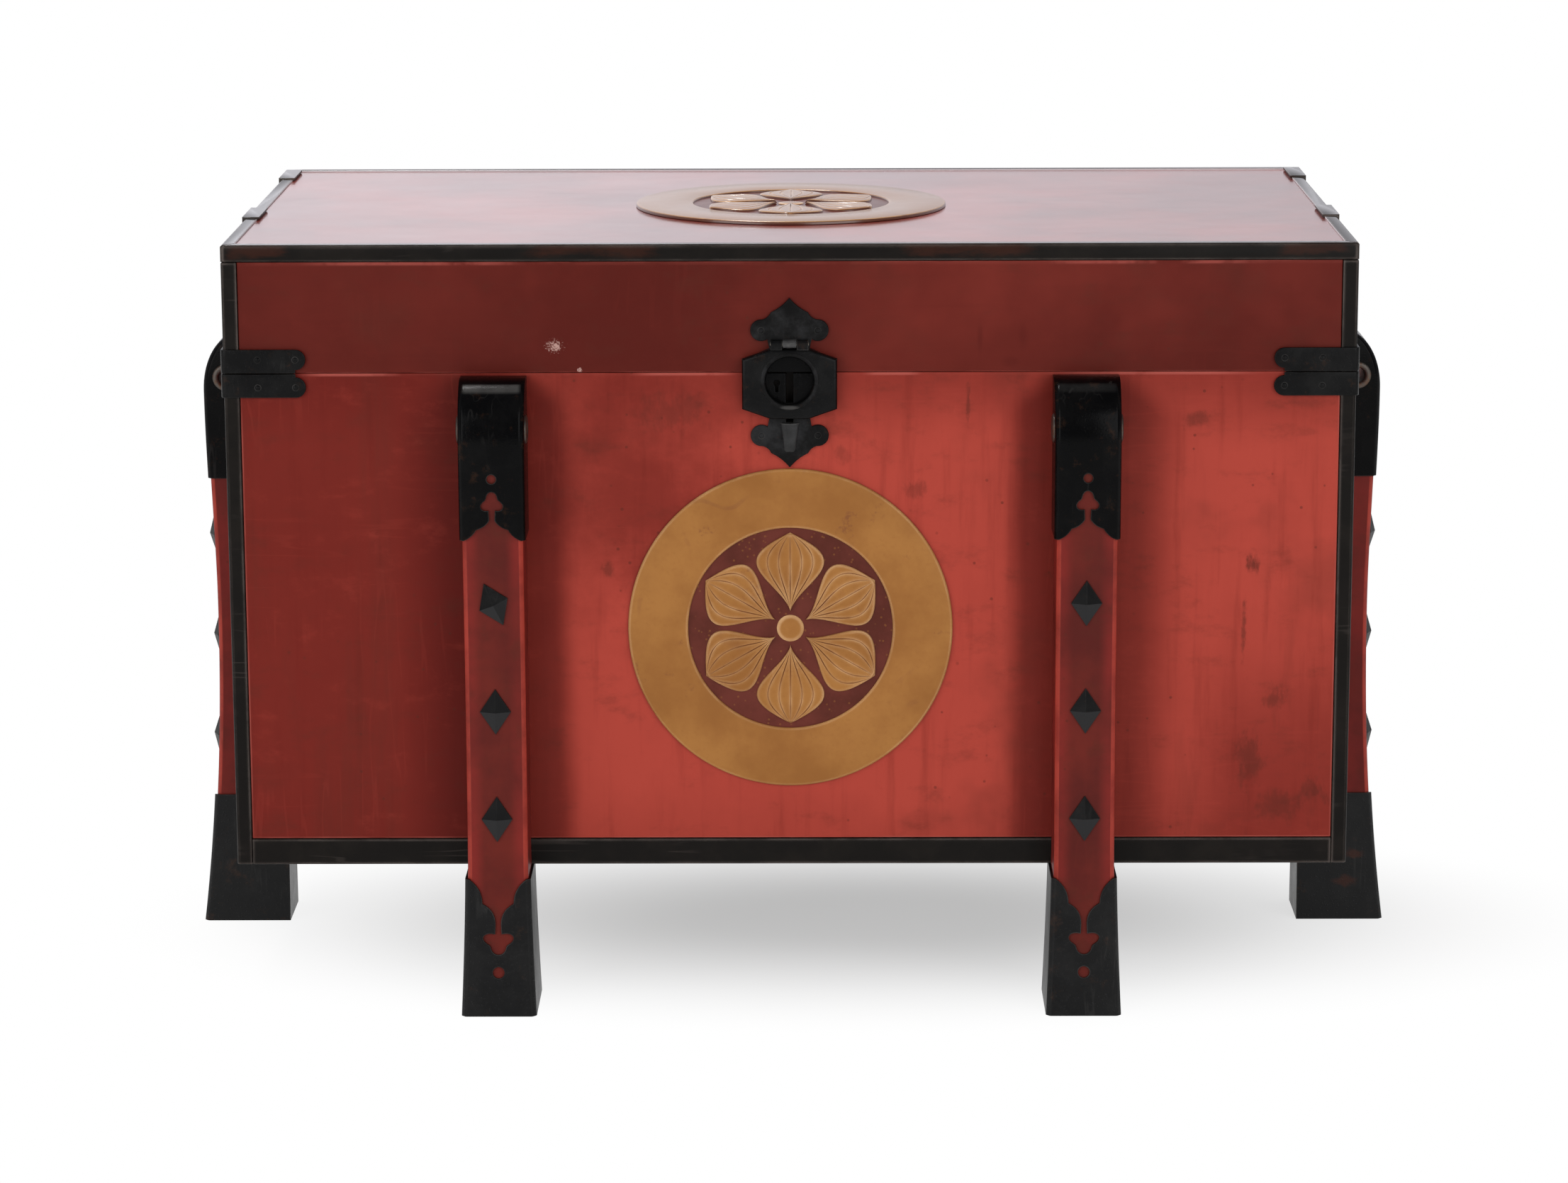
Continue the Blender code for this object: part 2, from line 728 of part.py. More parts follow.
def build_legs(red, black):
    """Six legs, each studded, capped and shod; the top stud at the front left has slipped round."""
    wood = leg_wood()
    cap = leg_cap()
    shoe = foot_shoe()
    for name, (foot, turn) in LEGS.items():
        studs = []
        for step in range(STUD_COUNT):
            slipped = name == "front_left" and step == 0
            slip = LOOSE_STUD_TURN if slipped else 0.0
            studs.append(stud(STUD_TOP_HEIGHT - step * STUD_STEP, slip))
        leg = joined(wood.copy(), *studs)
        place("leg_" + name, leg, red, at=foot, turn=turn, smooth=True)
        place("leg_cap_" + name, cap, black, at=foot, turn=turn, smooth=True)
        place("foot_shoe_" + name, shoe, black, at=foot, turn=turn, smooth=True)


def corner_bracket():
    """Plate wrapped round a corner below the seam, with a rounded lobe and a notch at each end."""
    lobe = (BRACKET_HEIGHT - BRACKET_NOTCH) / 2
    end = arc((lobe - BRACKET_RUN, lobe - BRACKET_HEIGHT), lobe, 270, 90, ARC_STEPS)
    top = -GAP
    outline = [(GAP, -BRACKET_HEIGHT)] + end + [(lobe - BRACKET_RUN, top), (GAP, top)]
    front = [(x, -GAP, z) for x, z in outline]
    side = [(GAP, -x, z) for x, z in reversed(outline)]
    return bent_sheet([front[::-1], side[::-1]], SHEET)


def build_brackets(black, lid):
    lower = corner_bracket()
    upper = moved(lower, Matrix.Diagonal((1, 1, -1, 1)))
    upper.flip_normals()
    for name, (corner, turn) in CORNERS.items():
        below = corner + Vector((0, 0, SEAM))
        above = corner + Vector((0, 0, LID_LOW))
        place("box_bracket_" + name, lower, black, at=below, turn=turn)
        place("lid_bracket_" + name, upper, black, at=above, turn=turn, parent=lid)


def plate_half(edge):
    """Right half of a lock plate, from its straight edge through a neck to a three-lobed fleuron."""
    lobe_height = HINGE_UP + LOBE_RISE
    right = [(PLATE_HALF, edge), (PLATE_HALF, HASP_SHOULDER), (NECK_HALF, HASP_END)]
    right += arc((LOBE_OUT, lobe_height), LOBE_RADIUS, LOBE_START, LOBE_END, ARC_STEPS)
    shoulder = (FLEURON_SHOULDER, HINGE_UP + FLEURON_SHOULDER_RISE)
    right += bowed(right[-1], shoulder, FLEURON_BOW, BOW_STEPS)
    right += bowed(shoulder, (0.0, HINGE_UP + FLEURON_RISE), FLEURON_BOW, BOW_STEPS)
    return right


def plate_outline(edge, upward):
    sign = 1 if upward else -1
    return [(x, sign * z) for x, z in mirrored(plate_half(edge))]


def bevelled_plate(outline, back, front, bevel):
    """Plate between two depths along -Y, whose front edge is drawn in by the bevel."""
    full = [(x, -back, z) for x, z in outline]
    edge = [(x, bevel - front, z) for x, z in outline]
    face = [(x, -front, z) for x, z in drawn_in(outline, bevel)]
    return loft([full, edge, face])


def ridge():
    """Half-round rib down the neck of the lower fleuron, tapering to its tip."""
    top = SLOT_LOW - STAPLE_CLEAR
    rings = []
    for share, height in ((1.0, top), (RIDGE_TAPER, top - RIDGE_LENGTH)):
        curve = arc((0.0, 0.0), 1.0, 0, 180, ARC_STEPS)
        rise = LOCK_PLATE / 2 + share * RIDGE_RISE
        root = LOCK_PLATE / 2 - PLATE_FRONT
        rings.append([(share * RIDGE_WIDTH / 2 * x, root - rise * y, height) for x, y in curve])
    return loft(rings)


def build_lock_plate(black):
    """Plate on the box: slot for the staple, keyhole, and a ridge down the fleuron's neck."""
    plate = bevelled_plate(plate_outline(GAP - LOCK_DROP, False), GAP, PLATE_FRONT, LOCK_PLATE / 4)
    plate = joined(plate, ridge())
    slot = block((-SLOT_HALF, -BEYOND, SLOT_LOW), (SLOT_HALF, BEYOND, BEYOND))
    keyhole = panel(circle(KEYHOLE_RADIUS, DOT_STEPS, (-KEYHOLE_OUT, 0.0)), -BEYOND, BEYOND)
    slit = block(
        (-KEYHOLE_OUT - KEYHOLE_SLIT / 2, -BEYOND, -KEYHOLE_DROP),
        (-KEYHOLE_OUT + KEYHOLE_SLIT / 2, BEYOND, 0),
    )
    place("lock_plate", cut(plate, slot, keyhole, slit), black, at=(0, -FRONT_FACE, LOCK_HEIGHT))


def build_bolt(iron):
    """Square bolt with a notch for the key, drawn back clear of the staple."""
    bolt = block((-BOLT_LENGTH, -BOLT / 2, -BOLT / 2), (0, BOLT / 2, BOLT / 2))
    talon_middle = -KEYHOLE_OUT - BOLT_NOSE
    talon = block(
        (talon_middle - KEYHOLE_RADIUS, -BEYOND, BOLT / 2 - TALON),
        (talon_middle + KEYHOLE_RADIUS, BEYOND, BEYOND),
    )
    seat = (BOLT_NOSE, BOLT_DEPTH - FRONT_FACE, LOCK_HEIGHT + BOLT_LEVEL)
    place("lock_bolt", cut(bolt, talon), iron, at=seat)


def strap(low, inward):
    """Section of a hinge knuckle round the pin, with a strap that runs down or back to its plate."""
    radius = HASP / 2
    if inward:
        return arc((0.0, 0.0), radius, 90, 270, ARC_STEPS) + [(low, -radius), (low, radius)]
    return arc((0.0, 0.0), radius, 0, 180, ARC_STEPS) + [(-radius, low), (radius, low)]


def build_hinge(black, iron, lid):
    """Fleuron plate on the lid with the middle knuckle, and the pin through all the knuckles."""
    plate = bevelled_plate(plate_outline(LOCK_DROP + 2 * GAP, True), GAP, PLATE_FRONT, LOCK_PLATE / 4)
    plate.transform(Matrix.Translation((0, HINGE_OUT, -HINGE_UP)))
    knuckle = bar(strap(HINGE_OUT - GAP - LOCK_PLATE / 2, True), KNUCKLE / 2)
    bore = bar(circle(PIN_RADIUS + PIN_CLEAR, PIN_STEPS), BEYOND)
    axis = Vector((0, -FRONT_FACE - HINGE_OUT, HINGE_HEIGHT))
    place("hasp_hinge_plate", cut(joined(plate, knuckle), bore), black, at=axis, parent=lid)
    pin = bar(circle(PIN_RADIUS, PIN_STEPS), HASP_END_HALF + GAP)
    place("hasp_pin", pin, iron, at=axis, parent=lid, smooth=True)


def build_hasp(black, lid):
    """Hexagonal hasp: bevelled, with a round window, two knuckles and a staple behind."""
    right = [
        (HASP_END_HALF, HASP_END),
        (HASP_HALF, HASP_SHOULDER),
        (HASP_HALF, -HASP_SHOULDER),
        (HASP_END_HALF, -HASP_END),
    ]
    hexagon = mirrored(right)
    plate = bevelled_plate(hexagon, -HASP / 2, HASP / 2, HASP_BEVEL)
    rings = []
    for depth, flare in ((BEYOND, 0.0), (HASP_BEVEL - HASP / 2, 0.0), (-HASP / 2, WINDOW_FLARE)):
        rim = circle(WINDOW_RADIUS + flare, WINDOW_STEPS, (0.0, WINDOW_RAISE))
        rings.append([(x, depth, z) for x, z in rim])
    outer = [(x, rings[-1][0][1] - HASP, z) for x, _, z in rings[-1]]
    plate = cut(plate, loft(rings + [outer]))

    back = HASP / 2
    tip = HINGE_OUT + STAPLE_REACH
    staple = block(
        (-STAPLE / 2, 0, STAPLE_LOW),
        (STAPLE / 2, tip, STAPLE_LOW + STAPLE_HEIGHT),
    )
    eye_depth = HINGE_OUT + BOLT_DEPTH
    eye = block(
        (-STAPLE, eye_depth - EYE / 2, BOLT_LEVEL - EYE / 2),
        (STAPLE, eye_depth + EYE / 2, BOLT_LEVEL + EYE / 2),
    )
    plate = joined(plate, cut(staple, eye))
    plate.transform(Matrix.Translation((0, 0, -HINGE_UP)))

    middle = (HASP_END_HALF + KNUCKLE / 2 + GAP) / 2
    half = (HASP_END_HALF - KNUCKLE / 2 - GAP) / 2
    knuckle = bar(strap(-back - 2 * HASP_HINGE_SPACE, False), half)
    sides = [moved(knuckle, Matrix.Translation((side * middle, 0, 0))) for side in (-1, 1)]
    bore = bar(circle(PIN_RADIUS + PIN_CLEAR, PIN_STEPS), BEYOND)
    axis = Vector((0, -FRONT_FACE - HINGE_OUT, HINGE_HEIGHT))
    place("hasp", cut(joined(plate, *sides), bore), black, at=axis, parent=lid)


def build_lid_boards(red, lid):
    long_plan = long_board_outline(FRONT_FACE, SIDE_FACE)
    short_plan = short_board_outline(SIDE_FACE)
    height = BAND_LOW - GAP - LID_LOW
    place("lid_front_board", prism(long_plan, 0, height), red, at=lid.location, parent=lid)
    place("lid_back_board", prism(long_plan, 0, height), red, at=lid.location, turn=math.pi, parent=lid)
    place("lid_right_board", prism(short_plan, 0, height), red, at=lid.location, parent=lid)
    place("lid_left_board", prism(short_plan, 0, height), red, at=lid.location, turn=math.pi, parent=lid)
    rings = []
    step = LID_TOP - TRIM - GAP
    for inset, level in (
        (TRIM + GAP, BAND_LOW),
        (TRIM + GAP, step),
        (TOP_TRIM_WIDTH + GAP, step),
        (TOP_TRIM_WIDTH + GAP, LID_TOP - PROUD),
    ):
        x = BOX_WIDTH / 2 - inset
        y = BOX_DEPTH / 2 - inset
        z = level - LID_LOW
        rings.append([(-x, -y, z), (x, -y, z), (x, y, z), (-x, y, z)])
    place("lid_top_board", loft(rings), red, at=lid.location, parent=lid)


def top_trim(length):
    """Angle strip along a top edge, mitred at both ends; its outer edge lies on the local X axis."""
    section = [
        (TRIM_CHAMFER, 0),
        (TOP_TRIM_WIDTH, 0),
        (TOP_TRIM_WIDTH, -TRIM),
        (TRIM, -TRIM),
        (TRIM, -TRIM_BAND),
        (0, -TRIM_BAND),
        (0, -TRIM_CHAMFER),
    ]
    rings = []
    for side in (-1, 1):
        rings.append([(side * (length / 2 - inset - GAP), inset, z) for inset, z in section])
    return loft(rings)


def edge_mount(along):
    """Thin plate folded over the top strip of a side edge, in that strip's own frame."""
    low = along - MOUNT_LENGTH / 2
    high = along + MOUNT_LENGTH / 2
    section = [
        (-SHEET, SHEET),
        (MOUNT_WIDTH, SHEET),
        (MOUNT_WIDTH, 0),
        (TOP_TRIM_WIDTH - GAP, -TRIM / 2),
        (TRIM / 2, -TRIM / 2),
        (TRIM / 2, -TRIM_BAND + GAP),
        (-SHEET, -TRIM_BAND + GAP),
    ]
    return loft([[(x, y, z) for y, z in section] for x in (low, high)])


def build_lid_trims(black, lid):
    """Mitred strips round the top edge and angle strips down the corners of the lid."""
    long_trim = top_trim(BOX_WIDTH)
    short_trim = top_trim(BOX_DEPTH)
    side = BOX_WIDTH / 2
    front = BOX_DEPTH / 2
    right = joined(short_trim.copy(), edge_mount(MOUNT_MID), edge_mount(MOUNT_BACK))
    left = joined(short_trim.copy(), edge_mount(-MOUNT_MID), edge_mount(-MOUNT_BACK))
    for name, mesh, at, turn in (
        ("front", long_trim, (0, -front, LID_TOP), 0.0),
        ("back", long_trim, (0, front, LID_TOP), math.pi),
        ("left", left, (-side, 0, LID_TOP), -math.pi / 2),
        ("right", right, (side, 0, LID_TOP), math.pi / 2),
    ):
        place("lid_top_trim_" + name, mesh, black, at=at, turn=turn, parent=lid)
    strip = corner_trim(0, BAND_LOW - GAP - LID_LOW)
    for name, (corner, turn) in CORNERS.items():
        at = corner + Vector((0, 0, LID_LOW))
        place("lid_corner_trim_" + name, strip, black, at=at, turn=turn, parent=lid)


def crest():
    """Gilt ring and pointed petals raised on a thin ground, standing on the XY plane."""
    edge = CREST_RISE - CREST_CHAMFER
    levels = (
        (CREST_RADIUS, 0),
        (CREST_RADIUS, edge),
        (CREST_RADIUS - CREST_CHAMFER, CREST_RISE),
        (CREST_INNER + CREST_CHAMFER, CREST_RISE),
        (CREST_INNER, edge),
        (CREST_INNER, CREST_GROUND),
    )
    ring = loft([[(x, y, z) for x, y in circle(radius, CREST_STEPS)] for radius, z in levels])
    length = PETAL_END - PETAL_START
    sweep = [step / PETAL_STEPS for step in range(PETAL_STEPS + 1)]
    bulge = [PETAL_WIDTH / 2 * math.sin(math.pi * share ** PETAL_SKEW) for share in sweep]
    right = [(half, PETAL_START + length * share) for half, share in zip(bulge, sweep)]
    right[0] = (0.0, PETAL_START)
    right[-1] = (0.0, PETAL_END)
    outline = mirrored(right)
    rings = [[(x, y, z) for x, y in outline] for z in (CREST_GROUND / 2, edge)]
    rings.append([(x, y, CREST_RISE) for x, y in drawn_in(outline, CREST_CHAMFER)])
    petal = loft(rings)
    turns = [2 * math.pi * step / PETAL_COUNT for step in range(PETAL_COUNT)]
    pieces = [moved(petal, Matrix.Rotation(turn, 4, "Z")) for turn in turns]
    boss_levels = ((0, CREST_GROUND / 2), (0, edge), (CREST_CHAMFER, CREST_RISE))
    boss = loft([[(x, y, z) for x, y in circle(BOSS_RADIUS - draw, BOSS_STEPS)] for draw, z in boss_levels])
    return joined(ring, grouped(pieces + [boss]))


def build_crests(gold, lid):
    flat = crest()
    front = (0, -FRONT_FACE - GAP, CREST_HEIGHT)
    place("front_crest", moved(flat, Matrix.Rotation(math.pi / 2, 4, "X")), gold, at=front)
    place("lid_crest", flat, gold, at=(0, 0, LID_TOP - PROUD + GAP), parent=lid)


def main():
    clear_scene()
    red = make_material("red_lacquer", (0.27, 0.036, 0.026), 0.32)
    dark = make_material("inner_lacquer", (0.03, 0.018, 0.014), 0.45)
    black = make_material("black_lacquer", (0.013, 0.012, 0.011), 0.34)
    fitting = make_material("black_iron", (0.016, 0.015, 0.014), 0.42, 0.6)
    iron = make_material("worn_iron", (0.09, 0.085, 0.08), 0.45, 0.9)
    gold = make_material("gilt_lacquer", (0.36, 0.18, 0.045), 0.48, 0.25)

    lid = make_pivot("lid_frame", (0, 0, LID_LOW))
    build_boards(red, dark)
    build_lip(dark)
    build_box_trims(black)
    build_legs(red, fitting)
    build_brackets(fitting, lid)
    build_lock_plate(fitting)
    build_bolt(iron)
    build_lid_boards(red, lid)
    build_lid_trims(black, lid)
    build_crests(gold, lid)
    build_hinge(fitting, iron, lid)
    build_hasp(fitting, lid)


main()
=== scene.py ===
"""Looks of the six-legged lacquer chest: finishes, finer fittings, floor, light and camera.

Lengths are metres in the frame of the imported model: +Z up, front towards -Y, floor at z = 0.
"""

import math

import bmesh
import bpy
from mathutils import Matrix, Vector
from mathutils.geometry import delaunay_2d_cdt


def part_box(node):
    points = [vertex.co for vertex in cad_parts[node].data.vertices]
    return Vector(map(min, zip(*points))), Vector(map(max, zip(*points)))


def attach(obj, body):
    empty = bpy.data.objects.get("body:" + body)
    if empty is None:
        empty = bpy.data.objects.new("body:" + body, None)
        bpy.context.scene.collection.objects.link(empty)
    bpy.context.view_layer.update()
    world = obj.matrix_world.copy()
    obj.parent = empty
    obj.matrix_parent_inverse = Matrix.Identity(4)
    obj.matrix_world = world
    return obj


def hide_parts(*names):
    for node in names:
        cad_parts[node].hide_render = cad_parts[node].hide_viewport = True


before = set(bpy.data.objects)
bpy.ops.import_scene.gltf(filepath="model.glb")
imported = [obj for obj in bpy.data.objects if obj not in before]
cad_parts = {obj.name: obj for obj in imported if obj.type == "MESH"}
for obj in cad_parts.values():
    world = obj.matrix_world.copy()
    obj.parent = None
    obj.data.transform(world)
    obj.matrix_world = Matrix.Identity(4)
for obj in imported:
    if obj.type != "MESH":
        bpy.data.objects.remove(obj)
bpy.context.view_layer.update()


def low(node):
    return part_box(node)[0]


def high(node):
    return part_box(node)[1]


# Clearance between pieces that touch, and the thickness of sheet metal
GAP = 0.0003
SHEET = 0.0012
SKIN = GAP + SHEET

# Places read from the frame
FRONT_FACE = -low("front_board").y
SIDE_FACE = high("right_board").x
CORNER_X = high("corner_trim_front_right").x
CORNER_Y = high("corner_trim_back_right").y
SEAM = high("front_board").z
LID_LOW = low("lid_front_board").z
LID_TOP = high("lid_top_trim_front").z
LID_FACE = high("lid_top_board").z
BAND_LOW = low("lid_top_trim_front").z
TRIM_X = low("corner_trim_front_right").x
TRIM_Y = low("corner_trim_back_right").y
BOX_LOW = low("base_rail_front").z
RAIL_TOP = high("base_rail_front").z
LEG_SPREAD = (low("foot_shoe_front_right").x + high("foot_shoe_front_right").x) / 2
LEG_TOP = high("leg_front_right").z
CAP_LOW = low("leg_cap_front_right").z
SHOE_TOP = high("foot_shoe_front_right").z
CREST_RADIUS = high("front_crest").x
CREST_HEIGHT = (low("front_crest").z + high("front_crest").z) / 2

# Legs: reach is measured outward from the red boards
LEG_WIDTH = 0.0355
LEG_FOOT_WIDTH = 0.0415
LEG_FLARE_HEIGHT = 0.095
LEG_FLARE_POWER = 1.5
LEG_FOOT_REACH = 0.0425
LEG_FOOT_POWER = 2.2
LEG_WAIST_REACH = 0.0307
LEG_WAIST_HEIGHT = 0.200
LEG_SHOULDER_REACH = 0.0340
LEG_CROWN_REACH = 0.0120
LEG_CROWN_RISE = 0.0345
LEG_SHOULDER_HEIGHT = LEG_TOP - LEG_CROWN_RISE
LEG_CHAMFER = 0.0025
LEG_EDGE_SOFTNESS = 0.3
FOOT_UNDER_BOX = 0.008
PROUD = CORNER_Y - FRONT_FACE

# Piercings of the caps and shoes
CAP_NOTCH = 0.0120
CAP_NECK = 0.0065
CAP_LEAF_WIDTH = 0.0130
CAP_LEAF_HEIGHT = 0.0105
CAP_DOT_RISE = 0.0365
CAP_DOT = 0.0055
SHOE_NOTCH = 0.0265
SHOE_NECK = 0.0065
SHOE_LEAF_WIDTH = 0.0180
SHOE_LEAF_HEIGHT = 0.0120
SHOE_DOT_RISE = 0.0555
SHOE_DOT = 0.0070
NECK_WIDTH = 0.0032
PRONG_WIDTH = 0.0024
NOTCH_CUSP = 0.55
NOTCH_BOW = 0.08
LEAF_LOBE = 0.26

# Cord eyelets through the leg heads
EYELET_REACH = 0.0210
EYELET_HEIGHT = LEG_TOP - 0.0265
EYELET_BORE = 0.0090
EYELET_WALL = 0.0012
EYELET_FLANGE = 0.0170
EYELET_RIM = 0.0014

# Diamond studs
STUD_WIDTH = 0.0180
STUD_LENGTH = 0.0270
STUD_EDGE = 0.0010
STUD_RISE = 0.0048
STUD_TOP_HEIGHT = 0.2465
STUD_STEP = 0.0645
STUD_COUNT = 3
LOOSE_STUD_TURN = math.radians(24)

# Corner plates
BRACKET_RUN = 0.0480
BRACKET_HEIGHT = 0.0140
BRACKET_NOTCH = 0.0020
BRACKET_BEND = 0.0015
BRACKET_RIM = 0.0004
BRACKET_NAIL_IN = 0.0200
NAIL_RADIUS = 0.0017
NAIL_RISE = 0.0008

# Lock: heights from its middle
LOCK_DROP = 0.0060
LOCK_PLATE = 0.0020
LOCK_PLATE_RIM = 0.0006
PLATE_HALF = 0.0250
HINGE_UP = 0.0235
NECK_HALF = 0.0118
LOBE_RISE = 0.0075
LOBE_OUT = 0.0165
LOBE_RADIUS = 0.0063
LOBE_START = -125
LOBE_END = 95
FLEURON_SHOULDER = 0.0108
FLEURON_SHOULDER_RISE = 0.0180
FLEURON_RISE = 0.0265
FLEURON_BOW = 0.0008
HASP = 0.0050
HASP_HALF = 0.0277
HASP_SHOULDER = 0.0147
HASP_END_HALF = 0.0110
HASP_END = 0.0205
HASP_RIM = 0.0018
WINDOW_RADIUS = 0.0138
WINDOW_RAISE = 0.0020
COLLAR_HALF = 0.0014
COLLAR_RISE = 0.0010
KNUCKLE = 0.0080
PIN_CLEAR = 0.0002
RIDGE_WIDTH = 0.0120
RIDGE_RISE = 0.0024
RIDGE_LENGTH = 0.0170
RIDGE_TAPER = 0.6
RIDGE_FALL_START = 0.75
RIDGE_FALL = 0.98
SLOT_HALF = 0.0021
SLOT_LOW = -0.0233
STAPLE = 0.0030
STAPLE_HEIGHT = 0.0088
STAPLE_WALL = 0.0021
STAPLE_REACH = 0.0089
BOLT_DEPTH = 0.0045
KEYHOLE_OUT = 0.0075
KEYHOLE_RADIUS = 0.0017
KEYHOLE_SLIT = 0.0015
KEYHOLE_DROP = 0.0051
LOCK_HEIGHT = SEAM - LOCK_DROP
PLATE_FRONT = GAP + LOCK_PLATE
HASP_BACK = PLATE_FRONT + GAP
HINGE_OUT = HASP_BACK + HASP / 2
PIN_RADIUS = (high("hasp_pin").z - low("hasp_pin").z) / 2

# Medallions
CREST_INNER = 0.0602
CREST_RISE = 0.0020
CREST_GROUND = 0.0007
CREST_RIM = 0.0011
PETAL_COUNT = 6
PETAL_START = 0.0100
PETAL_END = 0.0575
PETAL_WIDTH = 0.0400
PETAL_SKEW = 1.5
PETAL_CROWN = 0.0006
PETAL_RIM_POWER = 24
PETAL_TAPER = 30
VEINS = (0.34, 0.67)
VEIN_HALF = 0.035
VEIN_DEPTH = 0.0005
VEIN_FADE = 5
BOSS_RADIUS = 0.0080
BOSS_RISE = 0.0009

# Fineness of curves, and the sharpest bend that is shaded smooth
ARC_STEPS = 20
BOW_STEPS = 8
RIM_STEPS = 3
LEAF_STEPS = 32
ROUND_STEPS = 48
CREST_STEPS = 192
LEG_SPACING = 0.005
CROWN_STEPS = 20
BEND_STEPS = 4
SMOOTH_BEND = math.radians(34)

# Inner points of a corner plate, as distances from its bend and shares of its height
BRACKET_COLUMNS = (0.008, 0.016, 0.024, 0.032)
BRACKET_ROWS = (0.25, 0.5, 0.75)

# Columns across half a petal, besides those along its veins
PETAL_COLUMNS = (0.12, 0.22, 0.44, 0.56, 0.78, 0.86, 0.91, 0.95, 0.98, 1.0)

# Far enough outside the chest for a cutter to pass right through
BEYOND = 2 * SIDE_FACE

# Softened edges of the boards and strips, and how far a face must look up or inward to count as such
EDGE_SEGMENTS = 2
EDGE_BEND = math.radians(30)
BOARD_EDGE = 0.0005
STRIP_EDGE = 0.0006
BAND_EDGE = 0.0010
TOP_FACING = 0.9

# Chips on the lid's front: x, z and radius
CHIPS = ((-0.1369, 0.3934, 0.0056), (-0.1350, 0.3915, 0.0022), (-0.1222, 0.3792, 0.0022))

# Dark marks on the front: x, z, half width, half height and strength
MARKS = (
    (0.2719, 0.2628, 0.0050, 0.0070, 0.75),
    (0.2357, 0.3499, 0.0090, 0.0060, 0.40),
    (0.2669, 0.2265, 0.0016, 0.0210, 0.60),
    (0.2851, 0.1815, 0.0090, 0.0080, 0.50),
    (0.2715, 0.1435, 0.0090, 0.0190, 0.55),
    (0.2880, 0.1158, 0.0170, 0.0110, 0.45),
    (0.3109, 0.1249, 0.0090, 0.0110, 0.60),
    (0.1042, 0.3607, 0.0014, 0.0130, 0.50),
    (0.0729, 0.3082, 0.0080, 0.0060, 0.40),
    (0.0300, 0.3300, 0.0060, 0.0090, 0.35),
    (-0.0700, 0.3560, 0.0220, 0.0130, 0.35),
    (-0.1080, 0.2600, 0.0040, 0.0050, 0.50),
)
LID_MARKS = (
    (0.1108, 0.3970, 0.0026, 0.0110, 0.60),
    (0.1357, 0.3990, 0.0034, 0.0090, 0.50),
    (0.1290, 0.3836, 0.0060, 0.0040, 0.50),
)

# Red showing through on the near side of the right shoe: x, z, half width and half height
SHOE_MARKS = ((0.3542, 0.0423, 0.0065, 0.0034), (0.3490, 0.0247, 0.0080, 0.0042))

# Stretches along X, middle and half length: brown wear on the lid's top strip, and painted highlight lines
# below it and at the seam
BAND_WEAR = ((-0.308, 0.026), (-0.112, 0.050), (0.104, 0.052), (0.305, 0.028))
LID_HIGHLIGHTS = ((-0.218, 0.080), (0.210, 0.080))
SEAM_HIGHLIGHTS = ((-0.256, 0.034), (-0.062, 0.036), (0.060, 0.020), (0.213, 0.072))

# Camera: place, aim in radians and lens, for a frame of the photograph's shape
CAMERA_PLACE = Vector((0.0168, -2.8467, 0.8140))
CAMERA_YAW = 0.0077
CAMERA_PITCH = 0.2098
CAMERA_ROLL = -0.0036
CAMERA_SENSOR = 36.0
CAMERA_LENS = 106.24

# Colours of the finishes, linear
RED_DEEP = (0.110, 0.0060, 0.0030)
RED_PALE = (0.412, 0.0530, 0.0350)
RED_LID = (0.090, 0.0078, 0.0042)
RED_LID_FADED = (0.165, 0.0190, 0.0120)
RED_LEG = (0.088, 0.0105, 0.0080)
RED_LEG_SIDE = (0.260, 0.0220, 0.0180)
RED_RUBBED_AND_HIGHLIGHT = (0.420, 0.0900, 0.0700)
RED_BROWN = (0.085, 0.0160, 0.0090)
CHIP = (0.720, 0.4600, 0.4000)
BLACK_COAT = (0.0038, 0.0026, 0.0018)
BLACK_DUSTY = (0.0080, 0.0058, 0.0042)
BLACK_WORN_AND_HIGHLIGHT = (0.1350, 0.1100, 0.0980)
UNDERCOAT = (0.042, 0.0100, 0.0040)
IRON_BLACK = (0.0014, 0.0014, 0.0016)
IRON_SOOT = (0.0034, 0.0033, 0.0034)
IRON_DUSTY = (0.0060, 0.0058, 0.0058)
IRON_RUBBED_AND_HIGHLIGHT = (0.0900, 0.0860, 0.0820)
IRON_GREY = (0.0230, 0.0230, 0.0240)
GILT = (0.375, 0.1620, 0.0400)
GILT_DEEP = (0.285, 0.1120, 0.0250)
GILT_RUBBED_AND_HIGHLIGHT = (0.660, 0.4000, 0.2000)
GILT_LOST = (0.180, 0.0600, 0.0260)
GILT_DULL = (0.280, 0.1250, 0.0360)
GROUND = (0.130, 0.0260, 0.0170)
INNER_BLACK = (0.0180, 0.0120, 0.0095)
INNER_BROWN = (0.0700, 0.0360, 0.0210)
# Pale colour for the inner lips of the lid's top strips, a painted sheen
PALE_LIP_SHEEN = (0.600, 0.5300, 0.5500)
STEEL = (0.300, 0.2700, 0.2300)
STEEL_DULL = (0.095, 0.0830, 0.0730)
RUST = (0.120, 0.0480, 0.0200)
FLOOR = (0.860, 0.8600, 0.8600)

# Gloss of the finishes: settings of the shader and limits of its roughness
SATIN = {"Specular IOR Level": 0.16}
DARK_SATIN = {"Specular IOR Level": 0.12}
POLISH = {"Specular IOR Level": 0.50, "Coat Weight": 0.75, "Coat Roughness": 0.12}
SOFT_POLISH = {**POLISH, "Coat Weight": 0.50}
SATIN_ROUGH = (0.34, 0.52)
POLISH_ROUGH = (0.18, 0.30)

# Even light from all round, and how bright reflections see it from front to back and from left to right:
# the two ends of a soft step, and the strength at both
AMBIENT = 0.42
REFLECTED_WHITE = (0.95, 0.94, 1.00)
REFLECTED_DEPTH = (-0.3, 0.6, 0.28, 1.0)
REFLECTED_ACROSS = (-0.14, 0.16, 0.97, 0.70)

